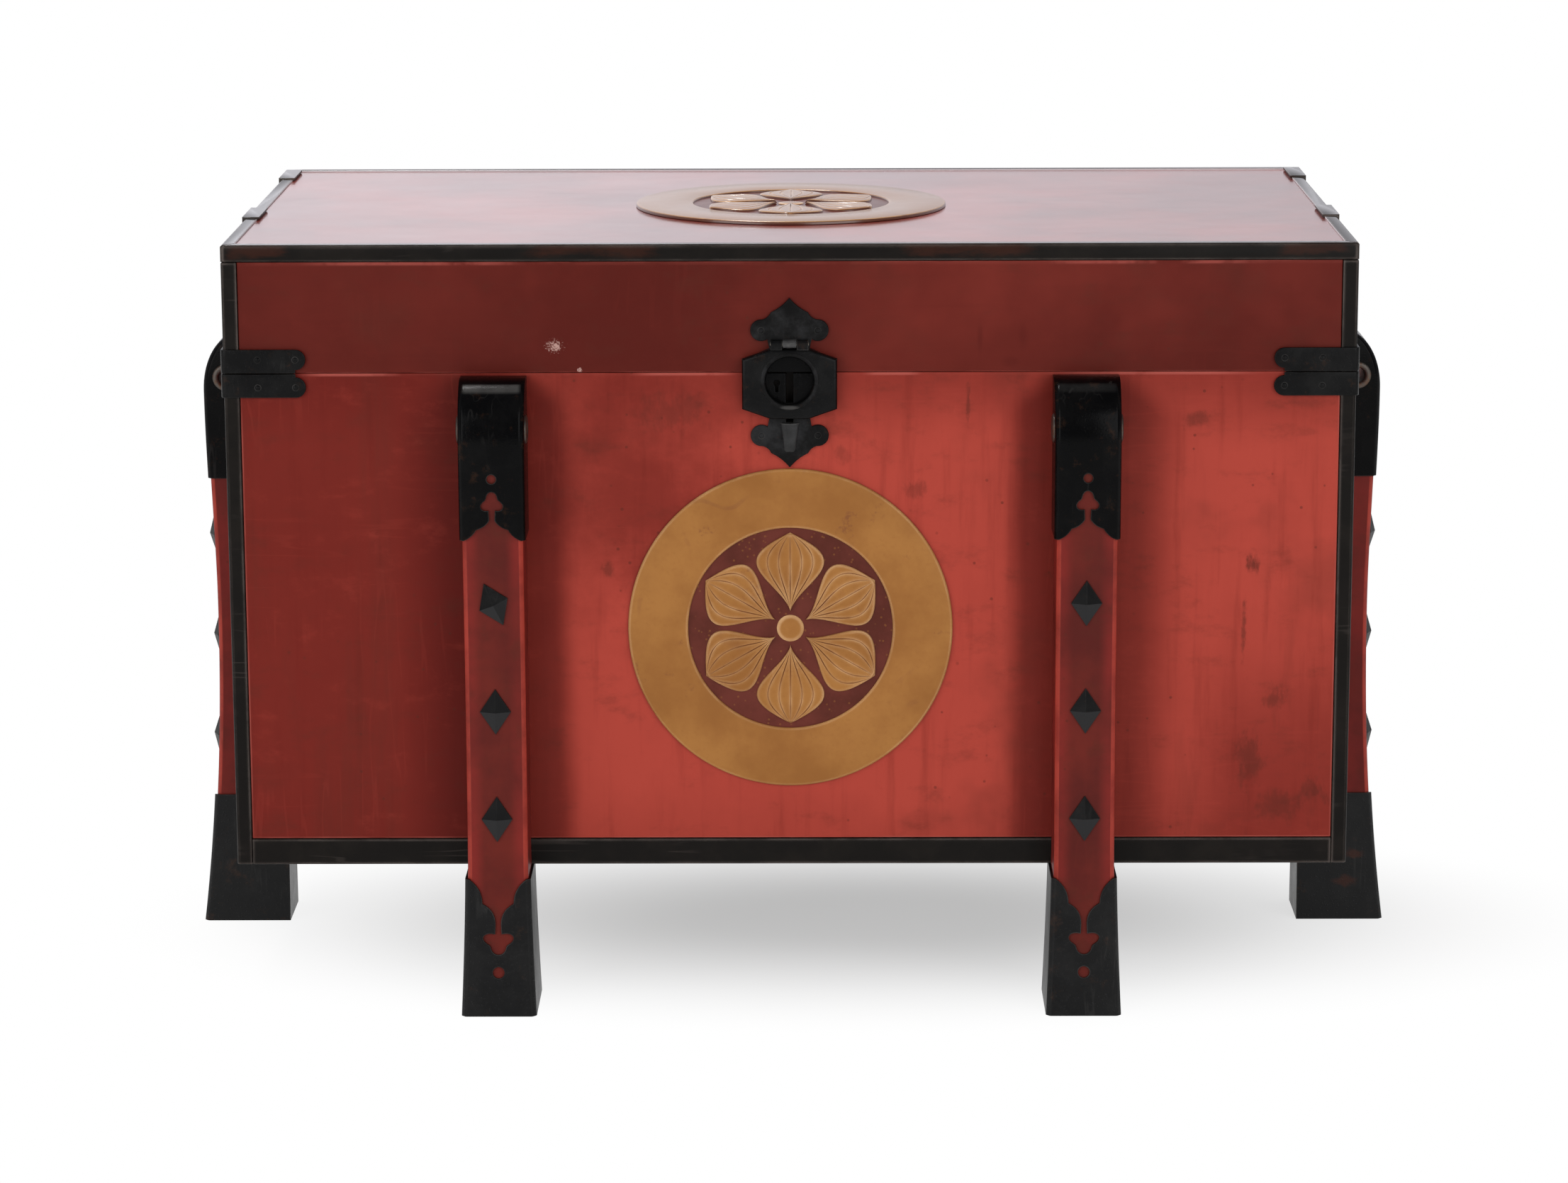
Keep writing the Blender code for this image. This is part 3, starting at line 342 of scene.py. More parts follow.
# Floor, and how its shadow fades to white around the chest: place, reach, and a soft step as above
FLOOR_HALF = 12.0
SHADOW_PLACE = (0.05, -0.02, 0.0)
SHADOW_REACH = (0.40, 0.20, 1.0)
SHADOW_FADE = (0.20, 1.25, 0.46, 1.0)

# Softboxes: place, aim, width, height and power in watts
LAMPS = {
    "key_left": ((-1.75, -2.15, 1.00), (0.0, -0.15, 0.22), 2.00, 1.70, 25.0),
    "key_right": ((1.45, -2.40, 1.10), (0.0, -0.15, 0.22), 2.00, 1.70, 26.0),
    "top": ((-0.45, 0.35, 2.20), (0.0, 0.0, 0.2), 0.85, 0.36, 24.0),
}

# Foot or corner on the box, and turn about Z
LEGS = {
    "front_left": (Vector((-LEG_SPREAD, -FRONT_FACE, 0)), math.pi),
    "front_right": (Vector((LEG_SPREAD, -FRONT_FACE, 0)), math.pi),
    "back_left": (Vector((-LEG_SPREAD, FRONT_FACE, 0)), 0.0),
    "back_right": (Vector((LEG_SPREAD, FRONT_FACE, 0)), 0.0),
    "left": (Vector((-SIDE_FACE, 0, 0)), math.pi / 2),
    "right": (Vector((SIDE_FACE, 0, 0)), -math.pi / 2),
}

CORNERS = {
    "front_right": (Vector((CORNER_X, -CORNER_Y, 0)), 0.0),
    "back_right": (Vector((CORNER_X, CORNER_Y, 0)), math.pi / 2),
    "back_left": (Vector((-CORNER_X, CORNER_Y, 0)), math.pi),
    "front_left": (Vector((-CORNER_X, -CORNER_Y, 0)), -math.pi / 2),
}

# Turns: a plate drawn in the XY plane to face the front, a ring round Z to lie round X, and none
FACING = Matrix.Rotation(math.radians(90), 4, "X")
ALONG_X = Matrix(((0, 0, 1, 0), (1, 0, 0, 0), (0, 1, 0, 0), (0, 0, 0, 1)))
IN_PLACE = Matrix.Identity(4)


class Nodes:
    """Nodes of one shader tree; most methods add nodes and return the socket they end in."""

    def __init__(self, tree):
        self.tree = tree

    def feed(self, socket, value):
        if isinstance(value, bpy.types.NodeSocket):
            self.tree.links.new(value, socket)
        elif isinstance(value, tuple) and socket.type == "RGBA":
            socket.default_value = (*value, 1.0)
        else:
            socket.default_value = value

    def node(self, kind, inputs=None, **settings):
        made = self.tree.nodes.new("ShaderNode" + kind)
        for name, value in settings.items():
            setattr(made, name, value)
        for socket, value in (inputs or {}).items():
            self.feed(made.inputs[socket], value)
        return made

    def calc(self, operation, first, *others):
        result = first
        for other in others:
            result = self.node("Math", {0: result, 1: other}, operation=operation).outputs[0]
        return result

    def product(self, *values):
        return self.calc("MULTIPLY", *values)

    def total(self, *values):
        return self.calc("ADD", *values)

    def less(self, first, second):
        return self.calc("SUBTRACT", first, second)

    def either(self, *values):
        return self.calc("MAXIMUM", *values)

    def flipped(self, value):
        return self.less(1.0, value)

    def size(self, value):
        return self.calc("ABSOLUTE", value, 0.0)

    def band(self, value, start, end, least=0.0, most=1.0):
        """Least before start and most past end, with a soft step between; end may be the lower one."""
        inputs = {"Value": value, "From Min": start, "From Max": end, "To Min": least, "To Max": most}
        return self.node("MapRange", inputs, interpolation_type="SMOOTHSTEP").outputs["Result"]

    def span(self, value, least, most):
        """0 to 1 drawn out to least to most."""
        return self.node("MapRange", {"Value": value, "To Min": least, "To Max": most}).outputs["Result"]

    def blend(self, share, first, second):
        return self.node("Mix", {0: share, 6: first, 7: second}, data_type="RGBA").outputs[2]

    def over(self, color, coat, *shares):
        """Colour with a coat over it, which covers the product of the shares."""
        return self.blend(self.product(*shares), color, coat)


class Finish(Nodes):
    """Material on one Principled shader; the functions that make one call it f.

    In them a noise is given by its scale per metre, detail and roughness, and a soft step by its two ends.
    """

    def __init__(self, name, settings):
        self.material = bpy.data.materials.new(name)
        self.material.use_nodes = True
        super().__init__(self.material.node_tree)
        self.shader = self.tree.nodes["Principled BSDF"]
        for socket, value in settings.items():
            self.shader.inputs[socket].default_value = value
        self.place = self.node("TexCoord").outputs["Object"]
        self.x, self.y, self.z = self.node("SeparateXYZ", {0: self.place}).outputs
        self.normal = None

    def noise(self, scale, detail=4, roughness=0.6, stretch=(1, 1, 1), shift=(0, 0, 0)):
        mapped = self.node("Mapping", {"Vector": self.place, "Scale": stretch, "Location": shift})
        inputs = {"Vector": mapped.outputs[0], "Scale": scale, "Detail": detail, "Roughness": roughness}
        return self.node("TexNoise", inputs).outputs[0]

    def patches(self, start, end, *noise, least=0.0, most=1.0, **place):
        """Patches of a noise with soft edges."""
        return self.band(self.noise(*noise, **place), start, end, least, most)

    def ragged(self, noise, depth):
        """Noise that roughens the edge of a spot."""
        return self.product(self.less(noise, 0.5), depth)

    def specks(self, scale, size):
        """Small round spots, one in each cell of the given number per metre."""
        cells = self.node("TexVoronoi", {"Vector": self.place, "Scale": scale})
        return self.band(cells.outputs["Distance"], size, size / 2)

    def worn_edge(self, radius, least, most):
        """1 along edges that stick out or fold in, within the given radius."""
        rounded = self.node("Bevel", {"Radius": radius}, samples=6).outputs["Normal"]
        true = self.node("NewGeometry").outputs["Normal"]
        match = self.node("VectorMath", {0: rounded, 1: true}, operation="DOT_PRODUCT")
        return self.band(match.outputs["Value"], 1 - least, 1 - most)

    def crevice(self, distance, least, most):
        """1 in corners that open light reaches least, within the given distance."""
        made = self.node("AmbientOcclusion", {"Distance": distance}, samples=8)
        return self.band(made.outputs["AO"], least, most)

    def facing(self, letter):
        """Part of the surface's direction along an axis."""
        true = self.node("NewGeometry").outputs["Normal"]
        return self.node("SeparateXYZ", {0: true}).outputs[letter]

    def slanted(self):
        """1 on upright faces that lie slantwise between the front and the sides."""
        slant = self.size(self.product(self.facing("X"), self.facing("Y"), 2.0))
        return self.band(slant, 0.50, 0.85)

    def hairlines(self, scale, width, stretch, shift=(0, 0, 0)):
        """Thin wandering lines, drawn out along the axes that are stretched least."""
        wander = self.noise(scale, 2, 0.5, stretch, shift)
        return self.band(self.size(self.less(wander, 0.5)), width, width / 3)

    def along(self, stretches):
        """1 along some stretches of X, each given by its middle and half length."""
        found = 0.0
        for middle, half in stretches:
            away = self.size(self.less(self.x, middle))
            found = self.either(self.band(away, half, half * 0.4), found)
        return found

    def spot(self, x, z, half_width, half_height, ragged=0.0, edge=1.10, full=0.20):
        """1 in a spot seen from the front; it starts and is full at these parts of its half sizes."""
        across = self.calc("DIVIDE", self.less(self.x, x), half_width)
        up = self.calc("DIVIDE", self.less(self.z, z), half_height)
        away = self.calc("SQRT", self.total(self.product(across, across), self.product(up, up)), 0.0)
        return self.band(self.total(away, ragged), edge, full)

    def rounded(self, radius):
        """Softens the shading of edges."""
        self.normal = self.node("Bevel", {"Radius": radius}, samples=4).outputs["Normal"]

    def bump(self, height, distance, strength):
        inputs = {"Height": height, "Distance": distance, "Strength": strength}
        if self.normal:
            inputs["Normal"] = self.normal
        self.normal = self.node("Bump", inputs).outputs["Normal"]

    def done(self, color, gloss, *noise):
        """Material of the given colour, its roughness between the two limits of gloss."""
        inputs = {"Base Color": color, "Roughness": self.span(self.noise(*noise), *gloss)}
        if self.normal:
            inputs["Normal"] = inputs["Coat Normal"] = self.normal
        for socket, value in inputs.items():
            self.feed(self.shader.inputs[socket], value)
        return self.material


def on_front(f):
    """1 on the front of the box."""
    return f.band(f.y, -0.5 * FRONT_FACE, -0.9 * FRONT_FACE)


def at_ends(f):
    """1 on the short faces of the box and on the legs there."""
    return f.band(f.size(f.x), SIDE_FACE - 0.004, SIDE_FACE - 0.002)


def beside_leg(f):
    """How far along a face a point is from the middle of the nearest leg, outward on the long faces."""
    end_face = at_ends(f)
    on_long = f.product(f.less(f.size(f.x), LEG_SPREAD), f.flipped(end_face))
    return f.total(on_long, f.product(f.size(f.y), end_face))


def inside(f):
    """1 on the faces of the boards that lie behind the red outside."""
    across = f.band(f.size(f.x), SIDE_FACE - 0.0010, SIDE_FACE - 0.0016)
    along = f.band(f.size(f.y), FRONT_FACE - 0.0010, FRONT_FACE - 0.0016)
    return f.product(across, along, f.band(f.z, LID_FACE - 0.0030, LID_FACE - 0.0036))


def painted_shade_behind_mounts(f):
    """1 on the boards behind the hasp, its slot and the corner plates, where black is painted as shade."""
    up = f.size(f.less(f.z, LOCK_HEIGHT))
    wide = f.band(f.size(f.x), HASP_HALF * 0.90, HASP_HALF * 0.85)
    wide = f.product(wide, f.band(up, HASP_SHOULDER, HASP_SHOULDER * 0.95))
    narrow = f.band(f.size(f.x), 4 * SLOT_HALF, 3 * SLOT_HALF)
    narrow = f.product(narrow, f.band(up, HASP_END * 1.25, HASP_END * 1.20))
    lock = f.product(on_front(f), f.either(wide, narrow))
    run = BRACKET_RUN - BRACKET_HEIGHT / 2
    by_side = f.band(f.size(f.x), CORNER_X - run, CORNER_X - run + GAP)
    at_corner = f.product(by_side, f.band(f.size(f.y), CORNER_Y - run, CORNER_Y - run + GAP))
    from_seam = f.size(f.less(f.z, SEAM))
    plates = f.product(at_corner, f.band(from_seam, BRACKET_NOTCH * 2, BRACKET_NOTCH * 1.8))
    return f.either(lock, plates)


def inner_grain(f):
    """Colour of the thin dark lacquer inside, and the level grain of the boards under it."""
    grain = f.noise(55, 5, 0.65, stretch=(0.06, 0.06, 1.0))
    clouds = f.span(f.noise(9, shift=(2, 4, 7)), 0.35, 1.25)
    return f.over(INNER_BLACK, INNER_BROWN, f.band(grain, 0.38, 0.70), clouds), grain


def board_back(f, color):
    """Colour of a board, which is dark inside the chest and painted black as shade behind the mounts."""
    color = f.over(color, inner_grain(f)[0], inside(f))
    return f.over(color, INNER_BLACK, painted_shade_behind_mounts(f))


def lacquer_skin(f, fine, stretch=(0.10, 0.10, 2.2)):
    """Brush marks and slight waves in a lacquer coat; returns a brush-mark pattern for its colour."""
    brush = f.noise(60, stretch=stretch)
    f.bump(f.noise(14, 2, 0.5), 0.0020, 0.20)
    f.bump(brush, 0.0004, 0.35)
    f.bump(f.noise(900, 2, 0.5), 0.0001, fine)
    return brush


def lacquer_age(f, color, pale, dark):
    """Fine age of a lacquer coat over its colour: rubbed grain, hairline scratches and specks."""
    grain = f.noise(48, 8, 0.70, stretch=(0.7, 0.7, 1.3), shift=(1.3, 0.2, 0.8))
    color = f.over(color, dark, f.band(grain, 0.50, 0.78), 0.42)
    color = f.over(color, pale, f.band(grain, 0.46, 0.24), 0.18)
    here = f.patches(0.50, 0.62, 10, 3, shift=(2.2, 6.1, 3.3))
    there = f.patches(0.50, 0.62, 11, 3, shift=(8.2, 1.1, 5.3))
    level = f.product(f.hairlines(5, 0.018, (1, 1, 15)), here)
    upright = f.product(f.hairlines(5, 0.018, (15, 15, 1), shift=(4, 1, 2)), there)
    color = f.over(color, pale, f.either(level, upright), 0.08)
    return f.over(color, dark, f.specks(90, 0.11), f.patches(0.50, 0.60, 9, 2, 0.5, shift=(5, 5, 5)), 0.55)


def box_red():
    """Red lacquer of the box: pale red with painted shadows beside the legs, darker below the seam, above
    the base rail, at the left end and low on the right.
    """
    f = Finish("red_lacquer_box", DARK_SATIN)
    brush = lacquer_skin(f, 0.15, (1.8, 1.8, 0.14))
    cloud = f.noise(7, 5, 0.62)
    mottle = f.noise(26, 5, 0.62, shift=(3.1, 0.4, 1.7))
    wipes = f.noise(9, 5, 0.62, stretch=(3.4, 3.4, 0.35), shift=(0.4, 6.0, 2.0))
    wobble = f.span(f.noise(16, 3, 0.5, shift=(0.7, 2.0, 5.1)), -0.012, 0.012)
    wavy_height = f.total(f.z, wobble)
    front = on_front(f)
    left_end = f.product(front, f.band(f.x, -LEG_SPREAD + 0.010, -LEG_SPREAD - 0.010))
    right_end = f.product(front, f.band(f.x, LEG_SPREAD, LEG_SPREAD + 0.010))
    low_right = f.product(front, f.band(f.x, 0.21, 0.27), f.band(wavy_height, 0.27, 0.13))

    aside = f.total(beside_leg(f), f.product(wobble, 0.35))
    slope = f.total(f.z, f.product(f.size(aside), 0.62))
    # Painted shadows of the legs: a dark zone beside each leg, sharp-edged towards the middle and soft
    # outward, under a top that slopes away from the leg.
    painted_leg_shadow = f.product(f.band(aside, -0.050, -0.033), f.band(aside, 0.066, 0.030))
    painted_leg_shadow = f.product(painted_leg_shadow, f.band(slope, LEG_TOP + 0.020, LEG_TOP + 0.002))
    stain = f.spot(-0.084, 0.312, 0.085, 0.092, f.ragged(mottle, 1.3), 1.25, 0.05)
    # Darker shares: the painted leg shadows, a stain, bands below the seam and above the rail, the left end
    # and the low right; light is the pale share left.
    shades = (
        (painted_leg_shadow, f.span(right_end, 0.77, 0.60)),
        (front, stain, 0.66),
        (f.band(wavy_height, SEAM - 0.050, SEAM + 0.004), 0.55),
        (f.band(wavy_height, RAIL_TOP + 0.050, RAIL_TOP - 0.004), 0.20),
        (left_end, 0.82),
        (low_right, 0.58),
    )
    light = f.product(*(f.flipped(f.product(*shade)) for shade in shades))
    uneven = f.product(f.span(cloud, 0.74, 1.32), f.span(mottle, 0.86, 1.12), f.span(wipes, 0.86, 1.12))
    color = f.over(RED_DEEP, RED_PALE, light, uneven)

    dirt = f.either(
        f.product(f.patches(0.55, 0.72, 22, stretch=(2.4, 2.4, 0.45)), low_right, 0.55),
        f.product(f.patches(0.56, 0.74, 11, shift=(8.0, 1.0, 2.5)), 0.30),
        f.product(left_end, f.band(wipes, 0.50, 0.68), 0.32),
    )
    ragged = f.ragged(f.noise(110, 6, 0.75, stretch=(1.3, 1.3, 0.6), shift=(1.0, 0.0, 4.0)), 3.6)
    for *place, strength in MARKS:
        dirt = f.either(dirt, f.product(front, f.spot(*place, ragged), strength))
    color = f.over(color, RED_BROWN, dirt)
    color = f.over(color, RED_DEEP, f.band(brush, 0.50, 0.75), 0.26)
    color = lacquer_age(f, color, RED_PALE, RED_BROWN)

    # Painted highlight lines along the board edges next to the corner strips and the base rail, and along
    # the top edge below the seam.
    end_face = at_ends(f)
    by_trim_long = f.product(f.less(TRIM_X, f.size(f.x)), f.flipped(end_face))
    by_trim_short = f.product(f.less(TRIM_Y, f.size(f.y)), end_face)
    by_strip = f.calc("MINIMUM", f.total(by_trim_long, by_trim_short), f.less(f.z, RAIL_TOP))
    uneven = f.patches(0.38, 0.62, 13, least=0.15, most=0.75, shift=(3, 3, 1))
    rim = f.product(f.band(by_strip, 0.0016, 0.0007), uneven)
    broken = f.patches(0.32, 0.52, 30, 4, 0.65)
    lines = f.either(f.product(front, f.along(SEAM_HIGHLIGHTS)), 0.08)
    seam_highlight = f.product(f.band(f.less(SEAM, f.z), 0.0022, 0.0010), broken, lines, 0.75)
    color = f.over(color, RED_RUBBED_AND_HIGHLIGHT, f.either(rim, seam_highlight))
    color = f.over(color, RED_RUBBED_AND_HIGHLIGHT, f.worn_edge(0.0016, 0.03, 0.15), f.patches(0.42, 0.60, 24, 3), 0.45)
    return f.done(board_back(f, color), SATIN_ROUGH, 18)


def lid_red(name, settings, deep, faded, gloss):
    """Darker red lacquer of the lid, with a few chips down to the pale ground coat."""
    f = Finish(name, settings)
    brush = lacquer_skin(f, 0.10)
    mottle = f.noise(34, shift=(1.0, 4.0, 0.0))
    front_half = f.band(f.y, 0.0, -FRONT_FACE)
    dark_end = f.product(front_half, f.band(f.x, -0.14, -0.24), 0.5)
    cloud = f.patches(0.36, 0.70, 8, shift=(2.0, 0.0, 0.6))
    pale = f.product(cloud, f.span(mottle, 0.7, 1.2), f.flipped(dark_end), 0.75)
    glow = f.spot(0.085, 0.405, 0.150, 0.080, f.ragged(mottle, 1.2), 1.20, 0.10)
    color = f.blend(f.total(pale, f.product(front_half, glow, 0.40)), deep, faded)
    color = f.over(color, RED_BROWN, f.patches(0.52, 0.72, 13, shift=(4.0, 2.0, 9.5)), 0.35)
    color = f.over(color, deep, f.band(brush, 0.52, 0.75), 0.22)
    color = lacquer_age(f, color, faded, RED_BROWN)

    front = f.band(f.y, -0.9 * FRONT_FACE, -0.995 * FRONT_FACE)
    for *place, strength in LID_MARKS:
        color = f.over(color, deep, front, f.spot(*place, f.ragged(mottle, 1.0)), strength)
    ragged = f.ragged(f.noise(900, 5, 0.75), 4.0)
    chips = [f.spot(x, z, radius, radius * 0.8, ragged, 0.75) for x, z, radius in CHIPS]
    color = f.over(color, CHIP, front, f.either(*chips), 0.60)
    # Painted highlight line just below the top strip, strongest over the listed stretches of the front.
    broken = f.patches(0.32, 0.52, 34, 4, 0.65)
    lines = f.either(f.product(front, f.along(LID_HIGHLIGHTS)), 0.2)
    color = f.over(color, RED_RUBBED_AND_HIGHLIGHT, f.band(f.less(BAND_LOW, f.z), 0.0028, 0.0014), broken, lines, 0.5)
    color = f.over(color, RED_RUBBED_AND_HIGHLIGHT, f.worn_edge(0.0014, 0.03, 0.15), f.patches(0.45, 0.62, 30, 3), 0.45)
    return f.done(board_back(f, color), gloss, 15)


def leg_red():
    """Red lacquer of the legs, with a painted highlight along both front chamfers, rubbed bright on the
    edges too, and painted shade in the corners.
    """
    f = Finish("red_lacquer_leg", DARK_SATIN)
    lacquer_skin(f, 0.15)
    color = f.over(RED_LEG, RED_LID_FADED, f.patches(0.38, 0.72, 14, 5, 0.62), 0.7)
    sides = f.band(f.size(beside_leg(f)), 0.0065, 0.0145)
    color = f.over(color, RED_LEG_SIDE, sides, f.patches(0.34, 0.66, 20, least=0.25, shift=(4, 2, 6)), 0.55)
    color = f.over(color, RED_BROWN, f.patches(0.54, 0.72, 60), 0.4)
    color = lacquer_age(f, color, RED_LID_FADED, RED_BROWN)
    # Painted highlight on the slanted chamfer faces, with rubbed wear on the edges.
    edges = f.either(f.slanted(), f.worn_edge(0.0016, 0.03, 0.12))
    color = f.over(color, RED_PALE, edges, f.patches(0.34, 0.60, 38, 5, 0.65, least=0.45), 0.80)
    color = f.over(color, CHIP, f.worn_edge(0.0014, 0.03, 0.12), f.patches(0.60, 0.68, 75, 4, 0.65), 0.5)
    # Painted shade where the leg meets the boards and its fittings.
    color = f.over(color, RED_BROWN, f.crevice(0.008, 0.75, 0.35), 0.5)
    return f.done(color, (0.34, 0.50), 22)


def black_lacquer(name, settings, gloss, stretches=(), coat=(BLACK_COAT, BLACK_DUSTY), worn_and_lit=BLACK_WORN_AND_HIGHLIGHT):
    """Black lacquer of the edge strips, worn grey on its edges, which also serves as a painted highlight,
    and to a brown undercoat along stretches.
    """
    f = Finish(name, settings)
    f.rounded(0.0008)
    lacquer_skin(f, 0.20)
    color = f.blend(f.patches(0.40, 0.75, 40), *coat)
    flake = f.less(f.noise(26, 6, 0.72, stretch=(0.6, 0.6, 2.0)), 0.5)
    worn = f.either(f.along(stretches), f.product(f.patches(0.60, 0.76, 6.5, 3, 0.55), 0.45))
    torn = f.band(f.total(worn, f.product(flake, 2.6)), 0.35, 1.10)
    if stretches:
        height = f.calc("DIVIDE", f.less(f.z, BAND_LOW), LID_TOP - BAND_LOW)
        torn = f.product(torn, f.band(f.total(height, f.product(flake, 1.6)), 0.20, 0.60))
    color = f.over(color, UNDERCOAT, torn, 0.60)
    uneven = f.patches(0.36, 0.58, 35, least=0.40, shift=(1, 2, 3))
    # Grey along the edges: rubbed wear and a painted highlight.
    color = f.over(color, worn_and_lit, f.worn_edge(0.0030, 0.015, 0.12), uneven, 0.8)
    here = f.patches(0.52, 0.64, 14, 3, shift=(1, 1, 4))
    color = f.over(color, worn_and_lit, f.hairlines(5, 0.018, (1, 1, 16)), here, 0.14)
    return f.done(color, gloss, 30)


def black_iron(name, specular, colors, rubbed_share, gloss, beaten=0.35, wear=None):
    """Blackened sheet iron: beaten, pitted, with thin rust, dusty in places and rubbed on the edges."""
    f = Finish(name, {"Specular IOR Level": specular})
    f.rounded(0.0005)
    f.bump(f.noise(90, 3, 0.5), 0.0010, beaten)
    f.bump(f.specks(420, 0.30), 0.0003, beaten)
    f.bump(f.noise(1500, 2, 0.5), 0.0001, 0.30)
    color = f.blend(f.patches(0.42, 0.70, 45, 6, 0.70), *colors)
    color = f.over(color, RUST, f.patches(0.56, 0.74, 80, 6, 0.75, shift=(2, 7, 1)), 0.16)
    here = f.patches(0.54, 0.66, 25, 3, shift=(1, 1, 4))
    color = f.over(color, IRON_RUBBED_AND_HIGHLIGHT, f.hairlines(6, 0.020, (16, 16, 1)), here, 0.10)
    edge = f.product(f.worn_edge(0.0010, 0.03, 0.14), f.flipped(f.crevice(0.002, 0.75, 0.45)))
    color = f.over(color, IRON_RUBBED_AND_HIGHLIGHT, edge, f.patches(0.40, 0.60, 70, least=0.3), rubbed_share)
    if wear:
        color = wear(f, color)
    return f.done(color, gloss, 60, 5, 0.65)


def window_shade_and_lip_highlight(f, color):
    """Painted shade inside the window of the hasp, and a painted highlight on the lip below it."""
    middle = LOCK_HEIGHT + WINDOW_RAISE
    window = f.spot(0.0, middle, WINDOW_RADIUS, WINDOW_RADIUS, edge=1.12, full=1.02)
    color = f.over(color, IRON_BLACK, window, 0.85)
    lip = f.spot(0.0, middle - WINDOW_RADIUS - HASP_RIM, WINDOW_RADIUS / 2, HASP_RIM, edge=1.0, full=0.4)
    return f.over(color, IRON_RUBBED_AND_HIGHLIGHT, lip, 0.5)


def crown_highlight(f, color):
    """Painted highlight across the turn of the cap's crown, strongest on the left of the chest."""
    down = f.less(LEG_TOP, f.z)
    crown = f.product(f.band(down, 0.0056, 0.0034), f.band(down, 0.0002, 0.0010))
    middle = f.band(f.size(beside_leg(f)), LEG_WIDTH / 2, LEG_WIDTH / 2 - 0.0030)
    share = f.band(f.x, 0.10, -0.10, 0.10, 0.48)
    return f.over(color, IRON_RUBBED_AND_HIGHLIGHT, crown, middle, f.patches(0.35, 0.60, 60, least=0.6), share)


def shoe_wear(f, color):
    """Dull red where the iron is thin on one shoe."""
    ragged = f.ragged(f.noise(160), 1.6)
    near = f.band(f.facing("Y"), -0.5, -0.8)
    for place in SHOE_MARKS:
        color = f.over(color, UNDERCOAT, near, f.spot(*place, ragged, full=0.30), 0.70)
    return color


def facet_reflection(f, color):
    """Painted reflection: lighter on the facets that face down."""
    return f.over(color, IRON_GREY, f.band(f.facing("Z"), -0.05, -0.15))


def gilt(name, settings, colors, gloss, flank_shade=0.0):
    """Gilt lacquer: cloudy gold, thin in places, rubbed bright along its edges, which is also a painted
    highlight, with painted shade in its hollows and up its flanks.
    """
    f = Finish(name, settings)
    f.bump(f.noise(120), 0.0003, 0.25)
    f.bump(f.noise(1400, 2, 0.5), 0.0001, 0.30)
    color = f.blend(f.patches(0.34, 0.66, 16, 5, 0.62, shift=(0.3, 0.0, 0.9)), *colors)
    grain = f.noise(420)
    color = f.over(color, GILT_DEEP, f.band(grain, 0.50, 0.72), 0.25)
    thin = f.patches(0.60, 0.70, 34, 5, 0.7, shift=(6, 1, 2))
    color = f.over(color, GILT_LOST, thin, f.band(grain, 0.42, 0.56), 0.6)
    sunk = f.crevice(0.0025, 0.90, 0.55)
    edge = f.product(f.worn_edge(0.0028, 0.01, 0.08), f.flipped(sunk))
    color = f.over(color, GILT_RUBBED_AND_HIGHLIGHT, edge, f.patches(0.38, 0.58, 40, least=0.4), 0.90)
    cracks = f.hairlines(9, 0.010, (1, 1, 1), shift=(3, 0, 2))
    color = f.over(color, GILT_LOST, cracks, f.patches(0.50, 0.62, 22), 0.30)
    # Painted shade in the hollows.
    color = f.over(color, GILT_LOST, sunk, 0.75)
    # Painted shade up the upright flanks.
    if flank_shade:
        color = f.over(color, RED_BROWN, f.band(f.facing("Z"), 0.80, 0.40), flank_shade)
    return f.done(color, gloss, 40)


def crest_ground(name, gloss):
    """Maroon lacquer behind the gilt petals."""
    f = Finish(name, SATIN)
    f.bump(f.noise(300, 3, 0.5), 0.0002, 0.3)
    color = f.blend(f.patches(0.35, 0.70, 40), GROUND, RED_BROWN)
    color = f.over(color, GILT_DEEP, f.specks(260, 0.22), 0.35)
    # Painted shade on the ground next to the ring and petals.
    color = f.over(color, RED_DEEP, f.crevice(0.006, 0.80, 0.40), 0.6)
    return f.done(color, gloss, 60, 3)


def inner_lacquer():
    """Thin dark lacquer inside the box, over the grain of the board."""
    f = Finish("inner_lacquer", {"Specular IOR Level": 0.25})
    color, grain = inner_grain(f)
    along = f.noise(55, 5, 0.65, stretch=(0.06, 1.0, 1.0), shift=(0, 3, 0))
    level = f.band(f.size(f.facing("Z")), 0.4, 0.6)
    color = f.over(color, INNER_BROWN, level, f.band(along, 0.40, 0.72))
    f.bump(f.total(f.product(grain, f.flipped(level)), f.product(along, level)), 0.0006, 0.4)
    color = f.over(color, UNDERCOAT, f.worn_edge(0.0016, 0.03, 0.15), f.patches(0.40, 0.60, 40, 3), 0.6)
    return f.done(color, (0.42, 0.62), 30)


def worn_iron(name, bright):
    """Bare iron of the pin, bolt and eyelets, with light rust."""
    f = Finish(name, {"Metallic": 0.85, "Specular IOR Level": 0.4})
    f.rounded(0.0004)
    f.bump(f.noise(600, 3, stretch=(0.3, 1, 1)), 0.0002, 0.35)
    color = f.over(bright, RUST, f.patches(0.46, 0.66, 260, 5, 0.7), 0.7)
    return f.done(color, (0.30, 0.60), 300)


def mesh_from(shape, name, outward=True):
    """Mesh of a shape, which is freed, with its normals turned outward if asked for."""
    if outward:
        bmesh.ops.recalc_face_normals(shape, faces=shape.faces)
    made = bpy.data.meshes.new(name)
    shape.to_mesh(made)
    shape.free()
    return made


def make_mesh(points, faces):
    """Closed mesh from points and faces."""
    shape = bmesh.new()
    corners = [shape.verts.new(point) for point in points]
    for face in faces:
        shape.faces.new([corners[index] for index in face])
    return mesh_from(shape, "shape")


